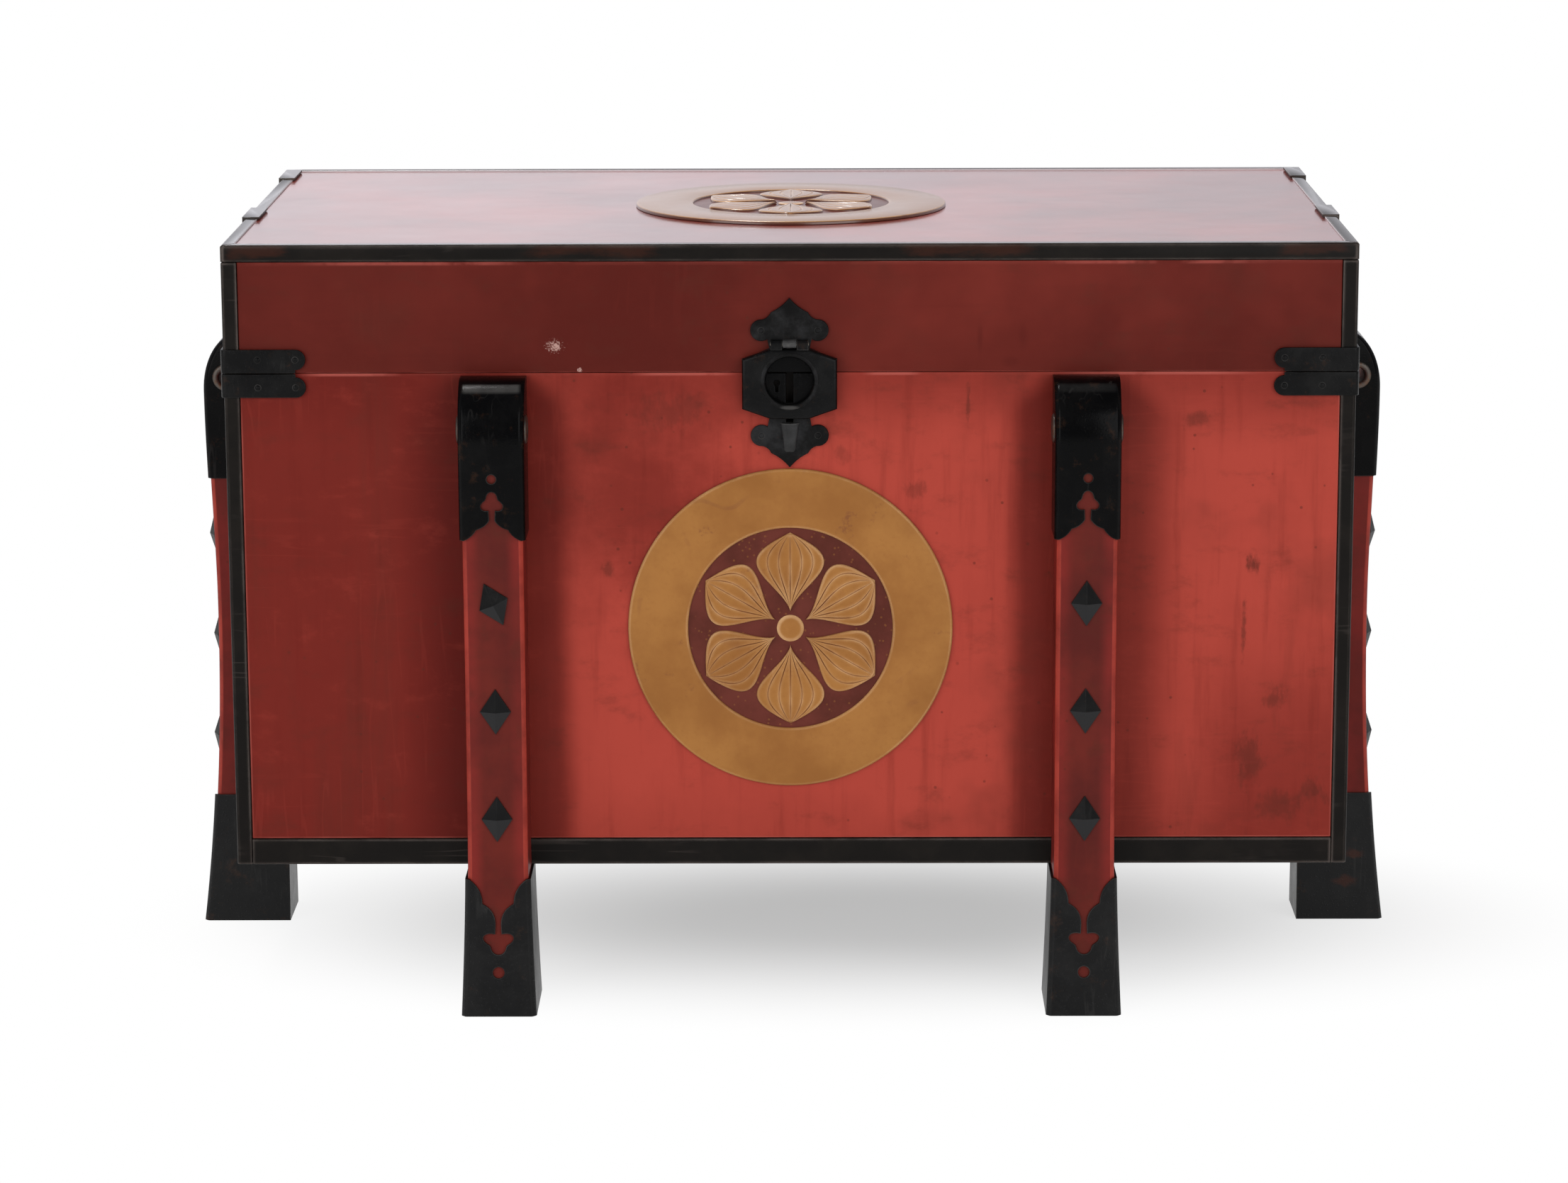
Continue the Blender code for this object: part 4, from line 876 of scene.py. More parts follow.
def joined(rings, closed):
    """Points of equally long rings, and faces from ring to ring, back to the first one if closed."""
    count = len(rings[0])
    points = [point for ring in rings for point in ring]
    faces = []
    for here in range(0, len(points) if closed else len(points) - count, count):
        there = (here + count) % len(points)
        for index in range(count):
            after = (index + 1) % count
            faces.append((here + index, here + after, there + after, there + index))
    return points, faces


def loft(rings):
    """Solid through rings of equally many points, closed by a flat face at both ends."""
    points, sides = joined(rings, False)
    numbers = list(range(len(points)))
    count = len(rings[0])
    return make_mesh(points, [numbers[:count], numbers[-count:], *sides])


def turned(profile, steps):
    """Ring made by turning a closed profile of (radius, z) points about Z."""
    angles = [2 * math.pi * step / steps for step in range(steps)]
    rings = [[(r * math.cos(a), r * math.sin(a), z) for r, z in profile] for a in angles]
    return make_mesh(*joined(rings, True))


def panel(outline, back, front):
    """Outline of (x, z) points, thickened along Y from back to front."""
    return loft([[(x, y, z) for x, z in outline] for y in (back, front)])


def bar(section, half_length):
    """Section of (y, z) points, drawn out along X to both sides."""
    return loft([[(x, y, z) for y, z in section] for x in (-half_length, half_length)])


def block(start, end):
    outline = [(start[0], start[2]), (end[0], start[2]), (end[0], end[2]), (start[0], end[2])]
    return panel(outline, start[1], end[1])


def circle(radius, segments, center=(0.0, 0.0)):
    angles = [2 * math.pi * step / segments for step in range(segments)]
    return [(center[0] + radius * math.cos(a), center[1] + radius * math.sin(a)) for a in angles]


def dome(center, radius, foot, base, rise, segments, steps):
    """Low dome on the XY plane, upright from foot to base and then rounded over by rise."""
    levels = [(radius, foot)]
    for step in range(steps):
        angle = math.pi / 2 * step / steps
        levels.append((radius * math.cos(angle), base + rise * math.sin(angle)))
    return loft([[(x, y, z) for x, y in circle(around, segments, center)] for around, z in levels])


def arc(center, radius, start, end, steps):
    """Points on a circle from one angle to another, in degrees."""
    angles = [math.radians(start + (end - start) * step / steps) for step in range(steps + 1)]
    return [(center[0] + radius * math.cos(a), center[1] + radius * math.sin(a)) for a in angles]


def bowed(start, end, bow, steps):
    """Points after start on a shallow curve to end, which bows to its left by the given depth."""
    run = Vector(end) - Vector(start)
    left = Vector((-run.y, run.x)).normalized()
    points = []
    for step in range(1, steps + 1):
        share = step / steps
        points.append(tuple(Vector(start) + run * share + left * 4 * bow * share * (1 - share)))
    return points


def mirrored(right_half):
    """Closed outline from its right half, listed from one end of the middle line to the other."""
    left_half = [(-x, y) for x, y in reversed(right_half) if x > 0]
    return right_half + left_half


def drawn_in(outline, distance):
    """Outline with every side moved inward by the same distance."""
    points = [Vector(point) for point in outline]
    area = sum(points[i - 1].cross(points[i]) for i in range(len(points)))
    sides = []
    for index, point in enumerate(points):
        run = (points[(index + 1) % len(points)] - point).normalized()
        sides.append(Vector((-run.y, run.x)) * math.copysign(1.0, area))
    inner = []
    for index, point in enumerate(points):
        inward = sides[index - 1] + sides[index]
        inner.append(tuple(point + inward * (2 * distance / inward.length_squared)))
    return inner


def encloses(loops, x, y):
    """Whether a flat point lies inside the outer loop and outside the holes."""
    crossings = 0
    for loop in loops:
        for (ax, ay), (bx, by) in zip(loop, loop[1:] + loop[:1]):
            if (ay > y) != (by > y) and x < ax + (y - ay) / (by - ay) * (bx - ax):
                crossings += 1
    return crossings % 2 == 1


def relief(loops, thickness, rim, inner_points=()):
    """Closed plate on the XY plane over an outer loop and holes, its upper rims rounded."""
    levels = [(0.0, 0.0)]
    for step in range(RIM_STEPS + 1):
        angle = math.pi / 2 * step / RIM_STEPS
        levels.append((rim * (1 - math.cos(angle)), thickness - rim + rim * math.sin(angle)))
    shape = bmesh.new()
    lowest, highest = [], []
    for loop_index, loop in enumerate(loops):
        sign = 1 if loop_index == 0 else -1
        rings = []
        for inset, height in levels:
            outline = drawn_in(loop, sign * inset)
            rings.append([shape.verts.new((x, y, height)) for x, y in outline])
        for lower, upper in zip(rings, rings[1:]):
            for index in range(len(lower)):
                after = (index + 1) % len(lower)
                shape.faces.new((lower[index], lower[after], upper[after], upper[index]))
        lowest.append(rings[0])
        highest.append(rings[-1])
    for rings, extra in ((lowest, ()), (highest, inner_points)):
        corners = [vert for ring in rings for vert in ring]
        outlines = [[(vert.co.x, vert.co.y) for vert in ring] for ring in rings]
        edges = []
        start = 0
        for ring in rings:
            edges += [(start + i, start + (i + 1) % len(ring)) for i in range(len(ring))]
            start += len(ring)
        corners += [shape.verts.new((x, y, thickness)) for x, y in extra]
        flat = [Vector((vert.co.x, vert.co.y)) for vert in corners]
        _, _, triangles, sources, _, _ = delaunay_2d_cdt(flat, edges, [], 0, GAP / 100000)
        for triangle in triangles:
            chosen = [corners[sources[index][0]] for index in triangle]
            middle = sum((vert.co for vert in chosen), Vector()) / 3
            if len(set(chosen)) == 3 and encloses(outlines, middle.x, middle.y):
                shape.faces.new(chosen)
    return mesh_from(shape, "relief")


def moved(mesh, matrix):
    copy = mesh.copy()
    copy.transform(matrix)
    return copy


def grouped(meshes):
    """Several separate solids in one mesh."""
    shape = bmesh.new()
    for mesh in meshes:
        shape.from_mesh(mesh)
    return mesh_from(shape, "group", outward=False)


def new_object(name, data):
    made = bpy.data.objects.new(name, data)
    bpy.context.scene.collection.objects.link(made)
    return made


def cut(mesh, *others):
    """Mesh after the other meshes have been taken out of it, one after the other."""
    target = new_object("target", mesh)
    tools = [new_object("tool", other) for other in others]
    for tool in tools:
        step = target.modifiers.new("step", "BOOLEAN")
        step.operation = "DIFFERENCE"
        step.solver = "EXACT"
        step.object = tool
    graph = bpy.context.evaluated_depsgraph_get()
    made = bpy.data.meshes.new_from_object(target.evaluated_get(graph))
    for item in [target, *tools]:
        bpy.data.objects.remove(item)
    return made


def add_piece(name, mesh, seat, finish, body, replaced=(), edge=0.0, bend=SMOOTH_BEND):
    """Piece in its seat on a body, shaded smooth over bends softer than the given one."""
    own = moved(mesh, seat)
    own.name = name
    own.materials.clear()
    own.materials.append(finish)
    own.shade_smooth()
    own.set_sharp_from_angle(angle=bend)
    item = new_object(name, own)
    if edge:
        soften(item, edge)
    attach(item, body)
    if replaced:
        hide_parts(*replaced)
    return item


def soften(item, width):
    """Rounds the edges of a piece without touching its mesh."""
    weld = item.modifiers.new("weld", "WELD")
    weld.merge_threshold = GAP / 20
    bevel = item.modifiers.new("edge", "BEVEL")
    bevel.width = width
    bevel.segments = EDGE_SEGMENTS
    bevel.limit_method = "ANGLE"
    bevel.angle_limit = EDGE_BEND
    bevel.use_clamp_overlap = True
    bevel.harden_normals = True


def dress(node, finish, edge=0.0):
    """Gives a node of the frame its finish and softened edges."""
    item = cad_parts[node]
    item.data.materials.clear()
    item.data.materials.append(finish)
    if edge:
        soften(item, edge)


def leg_reach(height, grow):
    """How far the leg's front stands out at a height, for a skin that is thicker by grow."""
    if height <= LEG_WAIST_HEIGHT:
        share = (LEG_WAIST_HEIGHT - height) / LEG_WAIST_HEIGHT
        return LEG_WAIST_REACH + (LEG_FOOT_REACH - LEG_WAIST_REACH) * share ** LEG_FOOT_POWER + grow
    if height <= LEG_SHOULDER_HEIGHT:
        share = (height - LEG_WAIST_HEIGHT) / (LEG_SHOULDER_HEIGHT - LEG_WAIST_HEIGHT)
        eased = share * share * (3 - 2 * share)
        return LEG_WAIST_REACH + (LEG_SHOULDER_REACH - LEG_WAIST_REACH) * eased + grow
    share = min(1.0, (height - LEG_SHOULDER_HEIGHT) / (LEG_CROWN_RISE + grow))
    across = LEG_SHOULDER_REACH - LEG_CROWN_REACH + grow
    return LEG_CROWN_REACH + across * math.sqrt(1 - share * share)


def leg_half_width(height, grow):
    share = max(0.0, 1 - height / LEG_FLARE_HEIGHT)
    return LEG_WIDTH / 2 + (LEG_FOOT_WIDTH - LEG_WIDTH) / 2 * share ** LEG_FLARE_POWER + grow


def soft_corner(corner, before, after, reach):
    """Three points that round a corner between two directions."""
    start = corner - before * reach
    end = corner + after * reach
    middle = (start + 2 * corner + end) / 4
    return [start, middle, end]


def leg_section(height, grow):
    """Level section of the leg: square at the back, with a flat, soft-edged chamfer at both front edges."""
    half = leg_half_width(height, grow)
    reach = leg_reach(height, grow)
    back = -FOOT_UNDER_BOX - PROUD - grow
    outward, slant, across = Vector((0, 1)), Vector((-1, 1)).normalized(), Vector((-1, 0))
    soft = LEG_CHAMFER * LEG_EDGE_SOFTNESS
    right = [Vector((half, back))]
    right += soft_corner(Vector((half, reach - LEG_CHAMFER)), outward, slant, soft)
    right += soft_corner(Vector((half - LEG_CHAMFER, reach)), slant, across, soft)
    points = [(point.x, point.y) for point in right]
    return [(x, y, height) for x, y in mirrored(points)]


def leg_solid(start, end, grow):
    heights = []
    steps = math.ceil((LEG_SHOULDER_HEIGHT - start) / LEG_SPACING)
    if steps > 0:
        heights += [start + (LEG_SHOULDER_HEIGHT - start) * step / steps for step in range(steps)]
    crown = [math.pi / 2 * step / CROWN_STEPS for step in range(CROWN_STEPS + 1)]
    heights += [LEG_SHOULDER_HEIGHT + (LEG_CROWN_RISE + grow) * math.sin(angle) for angle in crown]
    heights = [height for height in heights if height < end - GAP] + [end]
    return loft([leg_section(height, grow) for height in heights])


def box_space():
    """What the box takes up behind a leg: the boards, and the base rail that the leg is notched over."""
    rail_face = PROUD + GAP
    section = [
        (-BEYOND, BOX_LOW - GAP),
        (rail_face, BOX_LOW - GAP),
        (rail_face, RAIL_TOP + GAP),
        (GAP, RAIL_TOP + GAP),
        (GAP, BEYOND),
        (-BEYOND, BEYOND),
    ]
    return bar(section, LEG_FOOT_WIDTH)


def eyelet_bore(spare):
    radius = EYELET_BORE / 2 + EYELET_WALL + spare
    return bar(circle(radius, ROUND_STEPS, (EYELET_REACH, EYELET_HEIGHT)), LEG_FOOT_WIDTH)


def eyelet():
    """Flanged tube through the head of a leg, with a half-round rim on both cheeks of its cap."""
    inner = EYELET_BORE / 2
    middle = (inner + EYELET_FLANGE / 2) / 2
    round_half = EYELET_FLANGE / 2 - middle
    cheek = LEG_WIDTH / 2 + SKIN
    right = []
    for x, y in arc((0.0, 0.0), 1.0, 180, 0, ARC_STEPS // 2):
        right.append((middle + round_half * x, cheek + EYELET_RIM * y))
    right.append((inner + EYELET_WALL, cheek - GAP))
    profile = right + [(radius, -along) for radius, along in reversed(right)]
    place = Matrix.Translation((0, EYELET_REACH, EYELET_HEIGHT))
    return moved(turned(profile, ROUND_STEPS), place @ ALONG_X)


def stud(height, slip):
    """Faceted diamond on the front of a leg, turned by slip, with its base let into the wood."""
    rim = [(STUD_WIDTH / 2, 0), (0, STUD_LENGTH / 2), (-STUD_WIDTH / 2, 0), (0, -STUD_LENGTH / 2)]
    points = [(x, y, z) for x, z in rim for y in (-STUD_EDGE, STUD_EDGE)] + [(0, STUD_RISE, 0)]
    faces = [(0, 2, 4, 6)]
    for side in range(4):
        near = 2 * side
        after = 2 * ((side + 1) % 4)
        faces.append((near, near + 1, after + 1, after))
        faces.append((near + 1, len(points) - 1, after + 1))
    below = leg_reach(height - STUD_LENGTH / 2, 0.0)
    above = leg_reach(height + STUD_LENGTH / 2, 0.0)
    lean = Matrix.Rotation(math.atan2(below - above, STUD_LENGTH), 4, "X")
    seat = Matrix.Translation((0, (below + above) / 2, height))
    return moved(make_mesh(points, faces), seat @ lean @ Matrix.Rotation(slip, 4, "Y"))


def leaf_curve(width, height):
    """Right half of a three-lobed leaf standing on the origin, from its foot to its tip."""
    points = []
    for step in range(LEAF_STEPS + 1):
        angle = math.radians(-90 + 180 * step / LEAF_STEPS)
        radius = 1 + LEAF_LOBE * math.cos(3 * angle - math.radians(270))
        points.append((radius * math.cos(angle), radius * math.sin(angle)))
    foot = points[0][1]
    tall = points[-1][1] - foot
    wide = max(x for x, _ in points)
    return [(x / wide * width / 2, (y - foot) / tall * height) for x, y in points]


def pierced_notch(half, notch, neck, leaf_width, leaf_height):
    """Outline of a scalloped notch that runs through a neck into a leaf, upward from its mouth at 0."""
    neck_half = NECK_WIDTH / 2
    cusp = ((half + neck_half) / 2, notch * NOTCH_CUSP)
    right = [(half, -notch), (half, 0)]
    right += bowed((half, 0), cusp, notch * NOTCH_BOW, BOW_STEPS)
    right += bowed(cusp, (neck_half, notch), notch * NOTCH_BOW, BOW_STEPS)
    leaf = [(x, y + notch + neck) for x, y in leaf_curve(leaf_width, leaf_height)]
    right += [(x, y) for x, y in leaf if x > neck_half or y > notch + neck + leaf_height / 2]
    right[-1] = (0.0, right[-1][1])
    return mirrored(right)


def sheet_cutters(outline, dot_height, dot, upward, base):
    """Cutters for the pierced front of a cap or shoe, which leave its cheeks whole."""
    back = LEG_WAIST_REACH - LEG_CHAMFER
    sign = 1 if upward else -1
    notch = panel([(x, base + sign * z) for x, z in outline], back, BEYOND)
    hole = panel(circle(dot / 2, ROUND_STEPS, (0.0, base + sign * dot_height)), back, BEYOND)
    return notch, hole


def add_legs(red, cap_iron, shoe_iron, stud_iron, iron):
    """Six legs, each studded, capped and shod; the top stud at the front left has slipped round."""
    half = LEG_WIDTH / 2 + SKIN - PRONG_WIDTH
    wood = cut(leg_solid(SKIN, LEG_TOP, 0.0), box_space(), eyelet_bore(GAP))
    cap_notch = pierced_notch(half, CAP_NOTCH, CAP_NECK, CAP_LEAF_WIDTH, CAP_LEAF_HEIGHT)
    cap = cut(
        leg_solid(CAP_LOW, LEG_TOP + SKIN, SKIN),
        leg_solid(SHOE_TOP, LEG_TOP + GAP, GAP),
        box_space(),
        eyelet_bore(GAP / 2),
        *sheet_cutters(cap_notch, CAP_DOT_RISE, CAP_DOT, True, CAP_LOW),
    )
    shoe_notch = pierced_notch(half, SHOE_NOTCH, SHOE_NECK, SHOE_LEAF_WIDTH, SHOE_LEAF_HEIGHT)
    shoe = cut(
        leg_solid(0.0, SHOE_TOP, SKIN),
        leg_solid(SHEET, CAP_LOW, GAP),
        box_space(),
        *sheet_cutters(shoe_notch, SHOE_DOT_RISE, SHOE_DOT, False, SHOE_TOP),
    )
    ring = eyelet()
    for name, (foot, turn) in LEGS.items():
        seat = Matrix.Translation(foot) @ Matrix.Rotation(turn, 4, "Z")
        slips = [LOOSE_STUD_TURN if name == "front_left" else 0.0] + [0.0] * (STUD_COUNT - 1)
        studs = grouped([stud(STUD_TOP_HEIGHT - step * STUD_STEP, slip) for step, slip in enumerate(slips)])
        add_piece("leg_wood_" + name, wood, seat, red, "chest", ["leg_" + name])
        add_piece("leg_studs_" + name, studs, seat, stud_iron, "chest", bend=0.0)
        add_piece("cap_sheet_" + name, cap, seat, cap_iron, "chest", ["leg_cap_" + name])
        add_piece("cap_eyelet_" + name, ring, seat, iron, "chest")
        add_piece("shoe_sheet_" + name, shoe, seat, shoe_iron, "chest", ["foot_shoe_" + name])


def nail(x, y, base):
    """Low domed nail head on the XY plane."""
    return dome((x, y), NAIL_RADIUS, base - GAP, base, NAIL_RISE, ARC_STEPS, RIM_STEPS + 2)


def folded(mesh):
    """Wraps a plate round an upright corner: its X runs along both faces, and its Z outward."""
    radius = BRACKET_BEND + GAP
    half_bend = math.pi / 4 * radius
    for vert in mesh.vertices:
        along, up, out = vert.co
        angle = min(max((along + half_bend) / (2 * half_bend), 0.0), 1.0) * math.pi / 2
        straight = along - min(max(along, -half_bend), half_bend)
        x = -BRACKET_BEND + (radius + out) * math.sin(angle) + straight * math.cos(angle)
        y = BRACKET_BEND - (radius + out) * math.cos(angle) + straight * math.sin(angle)
        vert.co = (x, y, up)
    mesh.update()
    return mesh


def bracket():
    """Plate wrapped round a corner below the seam, nailed, with a lobe and a notch at each end."""
    lobe = (BRACKET_HEIGHT - BRACKET_NOTCH) / 2
    bend = [BRACKET_BEND * step / BEND_STEPS for step in range(BEND_STEPS + 1)]
    right = [(x, -BRACKET_HEIGHT) for x in bend]
    right += arc((BRACKET_RUN - lobe, lobe - BRACKET_HEIGHT), lobe, -90, 90, ARC_STEPS)
    seam = -GAP / 3
    right += [(BRACKET_RUN - lobe, seam)] + [(x, seam) for x in reversed(bend)]
    rows = [-BRACKET_HEIGHT * share for share in BRACKET_ROWS]
    columns = [*bend, *BRACKET_COLUMNS]
    inner = [(side * x, row) for x in columns for side in (-1, 1) for row in rows if x or side > 0]
    plate = relief([mirrored(right)], SHEET, BRACKET_RIM, inner)
    middle = lobe - BRACKET_HEIGHT
    places = [BRACKET_RUN - lobe, BRACKET_NAIL_IN]
    nails = [nail(side * x, middle, SHEET) for x in places for side in (-1, 1)]
    return folded(grouped([plate] + nails))


def add_brackets(black):
    lower = bracket()
    upper = moved(lower, Matrix.Diagonal((1, 1, -1, 1)))
    upper.flip_normals()
    for name, (corner, turn) in CORNERS.items():
        spin = Matrix.Rotation(turn, 4, "Z")
        below = Matrix.Translation(corner + Vector((0, 0, SEAM))) @ spin
        above = Matrix.Translation(corner + Vector((0, 0, LID_LOW))) @ spin
        add_piece("box_plate_" + name, lower, below, black, "chest", ["box_bracket_" + name])
        add_piece("lid_plate_" + name, upper, above, black, "lid", ["lid_bracket_" + name])


def plate_half(edge):
    """Right half of a lock plate, from its straight edge through a neck to a three-lobed fleuron."""
    right = [(PLATE_HALF, edge), (PLATE_HALF, HASP_SHOULDER), (NECK_HALF, HASP_END)]
    right += arc((LOBE_OUT, HINGE_UP + LOBE_RISE), LOBE_RADIUS, LOBE_START, LOBE_END, ARC_STEPS)
    shoulder = (FLEURON_SHOULDER, HINGE_UP + FLEURON_SHOULDER_RISE)
    right += bowed(right[-1], shoulder, FLEURON_BOW, BOW_STEPS)
    right += bowed(shoulder, (0.0, HINGE_UP + FLEURON_RISE), FLEURON_BOW, BOW_STEPS)
    return right


def lobe_nails(sign):
    return [nail(side * LOBE_OUT, sign * (HINGE_UP + LOBE_RISE), LOCK_PLATE) for side in (-1, 1)]


def ridge():
    """Half-round rib down the neck of the lower fleuron, tapering to its tip, on the XY plane."""
    top = SLOT_LOW - GAP
    middle = LOCK_PLATE / 2
    curve = arc((0.0, 0.0), 1.0, 0, 180, ARC_STEPS)
    rings = []
    for step in range(ARC_STEPS + 1):
        share = step / ARC_STEPS
        width = 1 + (RIDGE_TAPER - 1) * share
        drop = RIDGE_LENGTH * share
        past = max(0.0, share - RIDGE_FALL_START) / (1 - RIDGE_FALL_START)
        rise = width * RIDGE_RISE * math.sqrt(1 - past * RIDGE_FALL)
        half = width * RIDGE_WIDTH / 2
        rings.append([(half * x, top - drop, middle + (middle + rise) * y) for x, y in curve])
    return loft(rings)


def strap(end, inward):
    """Section of a hinge knuckle round the pin, with a strap that runs down or back to its plate."""
    radius = HASP / 2
    if inward:
        return arc((0.0, 0.0), radius, 90, 270, ARC_STEPS) + [(end, -radius), (end, radius)]
    return arc((0.0, 0.0), radius, 0, 180, ARC_STEPS) + [(-radius, end), (radius, end)]


def collar():
    """Half-round lip round the window of the hasp, on the XY plane."""
    middle = WINDOW_RADIUS + HASP_RIM
    profile = []
    for x, y in arc((0.0, 0.0), 1.0, 0, 180, ARC_STEPS // 2):
        profile.append((middle + COLLAR_HALF * x, HASP - GAP + COLLAR_RISE * y))
    return moved(turned(profile, 2 * ROUND_STEPS), Matrix.Translation((0, WINDOW_RAISE, 0)))


def add_lock(black, plate_iron, grey, bright):
    """Fleuron plates on lid and box, and the hexagonal hasp that closes over both."""
    flat = Matrix.Translation((0, -FRONT_FACE - GAP, LOCK_HEIGHT)) @ FACING
    axis = Matrix.Translation((0, -FRONT_FACE - HINGE_OUT, LOCK_HEIGHT + HINGE_UP))
    bore = bar(circle(PIN_RADIUS + PIN_CLEAR, ROUND_STEPS), BEYOND)

    edge = LOCK_DROP - GAP / 3
    outline = [(x, -z) for x, z in mirrored(plate_half(-edge))]
    outline += [(-SLOT_HALF, edge), (-SLOT_HALF, SLOT_LOW), (SLOT_HALF, SLOT_LOW), (SLOT_HALF, edge)]
    slit_half = KEYHOLE_SLIT / 2
    opening = math.degrees(math.acos(slit_half / KEYHOLE_RADIUS))
    keyhole = arc((-KEYHOLE_OUT, 0.0), KEYHOLE_RADIUS, -opening, 180 + opening, ARC_STEPS)
    keyhole += [(-KEYHOLE_OUT - slit_half, -KEYHOLE_DROP), (-KEYHOLE_OUT + slit_half, -KEYHOLE_DROP)]
    plate = relief([outline, keyhole], LOCK_PLATE, LOCK_PLATE_RIM)
    lower = grouped([plate] + lobe_nails(-1))
    add_piece("lock_plate_sheet", lower, flat, plate_iron, "chest", ["lock_plate"])
    add_piece("lock_ridge", ridge(), flat, grey, "chest")

    plate = relief([mirrored(plate_half(LOCK_DROP + 4 * GAP / 3))], LOCK_PLATE, LOCK_PLATE_RIM)
    knuckle = cut(bar(strap(HINGE_OUT - GAP - LOCK_PLATE / 2, True), KNUCKLE / 2), bore)
    upper = grouped([plate] + lobe_nails(1))
    add_piece("hinge_plate_sheet", upper, flat, plate_iron, "lid", ["hasp_hinge_plate"])
    # The knuckle's lighter iron is a painted highlight.
    add_piece("hinge_knuckle", knuckle, axis, bright, "lid")

    right = [
        (HASP_END_HALF, HASP_END),
        (HASP_HALF, HASP_SHOULDER),
        (HASP_HALF, -HASP_SHOULDER),
        (HASP_END_HALF, -HASP_END),
    ]
    window = circle(WINDOW_RADIUS, 2 * ROUND_STEPS, (0.0, WINDOW_RAISE))
    front = Matrix.Translation((0, -FRONT_FACE - HASP_BACK, LOCK_HEIGHT)) @ FACING
    face = moved(relief([mirrored(right), window], HASP, HASP_RIM), front)
    middle = (HASP_END_HALF + KNUCKLE / 2 + GAP) / 2
    half = (HASP_END_HALF - KNUCKLE / 2 - GAP) / 2
    side = bar(strap(HASP_END - HINGE_UP - GAP, False), half)
    knuckles = [cut(moved(side, Matrix.Translation((sign * middle, 0, 0))), bore) for sign in (-1, 1)]
    back = HINGE_OUT + STAPLE_REACH
    eye_low = -HASP_END + STAPLE_WALL
    eye_high = STAPLE_HEIGHT - HASP_END - STAPLE_WALL
    eye_half = (eye_high - eye_low) / 2
    eye_back = HINGE_OUT + BOLT_DEPTH
    staple = cut(
        block((-STAPLE / 2, HASP / 4, -HASP_END), (STAPLE / 2, back, STAPLE_HEIGHT - HASP_END)),
        block((-STAPLE, eye_back - eye_half, eye_low), (STAPLE, eye_back + eye_half, eye_high)),
    )
    staple.transform(Matrix.Translation((0, 0, -HINGE_UP)))
    hasp = grouped([face] + [moved(part, axis) for part in [*knuckles, staple]])
    add_piece("hasp_plate", hasp, IN_PLACE, black, "hasp", ["hasp"])
    add_piece("hasp_collar", collar(), front, plate_iron, "hasp")


def crest_ring():
    """Broad flat ring with rounded rims, standing on the XY plane."""
    profile = [(CREST_RADIUS, 0.0)]
    profile += arc((CREST_RADIUS - CREST_RIM, CREST_RISE - CREST_RIM), CREST_RIM, 0, 90, RIM_STEPS)
    profile += arc((CREST_INNER + CREST_RIM, CREST_RISE - CREST_RIM), CREST_RIM, 90, 180, RIM_STEPS)
    profile.append((CREST_INNER, 0.0))
    return turned(profile, CREST_STEPS)


def petal():
    """Crowned petal with engraved veins and a rounded rim, standing on the XY plane."""
    columns = [0.0, VEIN_HALF, *PETAL_COLUMNS]
    for vein in VEINS:
        columns += [vein - VEIN_HALF, vein, vein + VEIN_HALF]
    columns = sorted(columns + [-column for column in columns if column])
    shape = bmesh.new()
    rows = []
    for step in range(LEAF_STEPS + 1):
        share = step / LEAF_STEPS
        half = PETAL_WIDTH / 2 * max(0.0, math.sin(math.pi * share ** PETAL_SKEW))
        row = []
        for column in columns:
            rise = (CREST_RISE - CREST_GROUND) * math.sqrt(1 - abs(column) ** PETAL_RIM_POWER)
            rise += PETAL_CROWN * (1 - column * column)
            if abs(column) in (0.0, *VEINS):
                rise -= VEIN_DEPTH * min(1.0, VEIN_FADE * share, VEIN_FADE * (1 - share))
            taper = min(1.0, PETAL_TAPER * share, PETAL_TAPER * (1 - share))
            y = PETAL_START + (PETAL_END - PETAL_START) * share
            row.append(shape.verts.new((half * column, y, rise * taper)))
        rows.append(row)
    for row, after in zip(rows, rows[1:]):
        for index in range(len(columns) - 1):
            shape.faces.new((row[index], row[index + 1], after[index + 1], after[index]))
        shape.faces.new((row[0], after[0], after[-1], row[-1]))
    bmesh.ops.remove_doubles(shape, verts=shape.verts, dist=GAP / 100)
    return mesh_from(shape, "petal")


def rosette():
    """Petals and boss, standing on the XY plane."""
    leaf = petal()
    turns = [2 * math.pi * step / PETAL_COUNT for step in range(PETAL_COUNT)]
    pieces = [moved(leaf, Matrix.Rotation(turn, 4, "Z")) for turn in turns]
    base = CREST_RISE - CREST_GROUND - CREST_RIM
    boss = dome((0.0, 0.0), BOSS_RADIUS, 0.0, base, BOSS_RISE, ROUND_STEPS, 2 * RIM_STEPS)
    return grouped([*pieces, boss])


def add_crests(finishes):
    """Gilt medallions on the front and on the lid: ring, ground and rosette."""
    ring = crest_ring()
    ground = loft([[(x, y, z) for x, y in circle(CREST_INNER, CREST_STEPS)] for z in (0.0, CREST_GROUND)])
    flower = moved(rosette(), Matrix.Translation((0, 0, CREST_GROUND)))
    front = Matrix.Translation((0, -FRONT_FACE - GAP, CREST_HEIGHT)) @ FACING
    top = Matrix.Translation((0, 0, LID_FACE + GAP))
    for name, seat, body in (("front", front, "chest"), ("lid", top, "lid")):
        gold, maroon = finishes[name]
        add_piece(name + "_crest_ring", ring, seat, gold, body, [name + "_crest"])
        add_piece(name + "_crest_rosette", flower, seat, gold, body)
        add_piece(name + "_crest_ground", ground, seat, maroon, body)


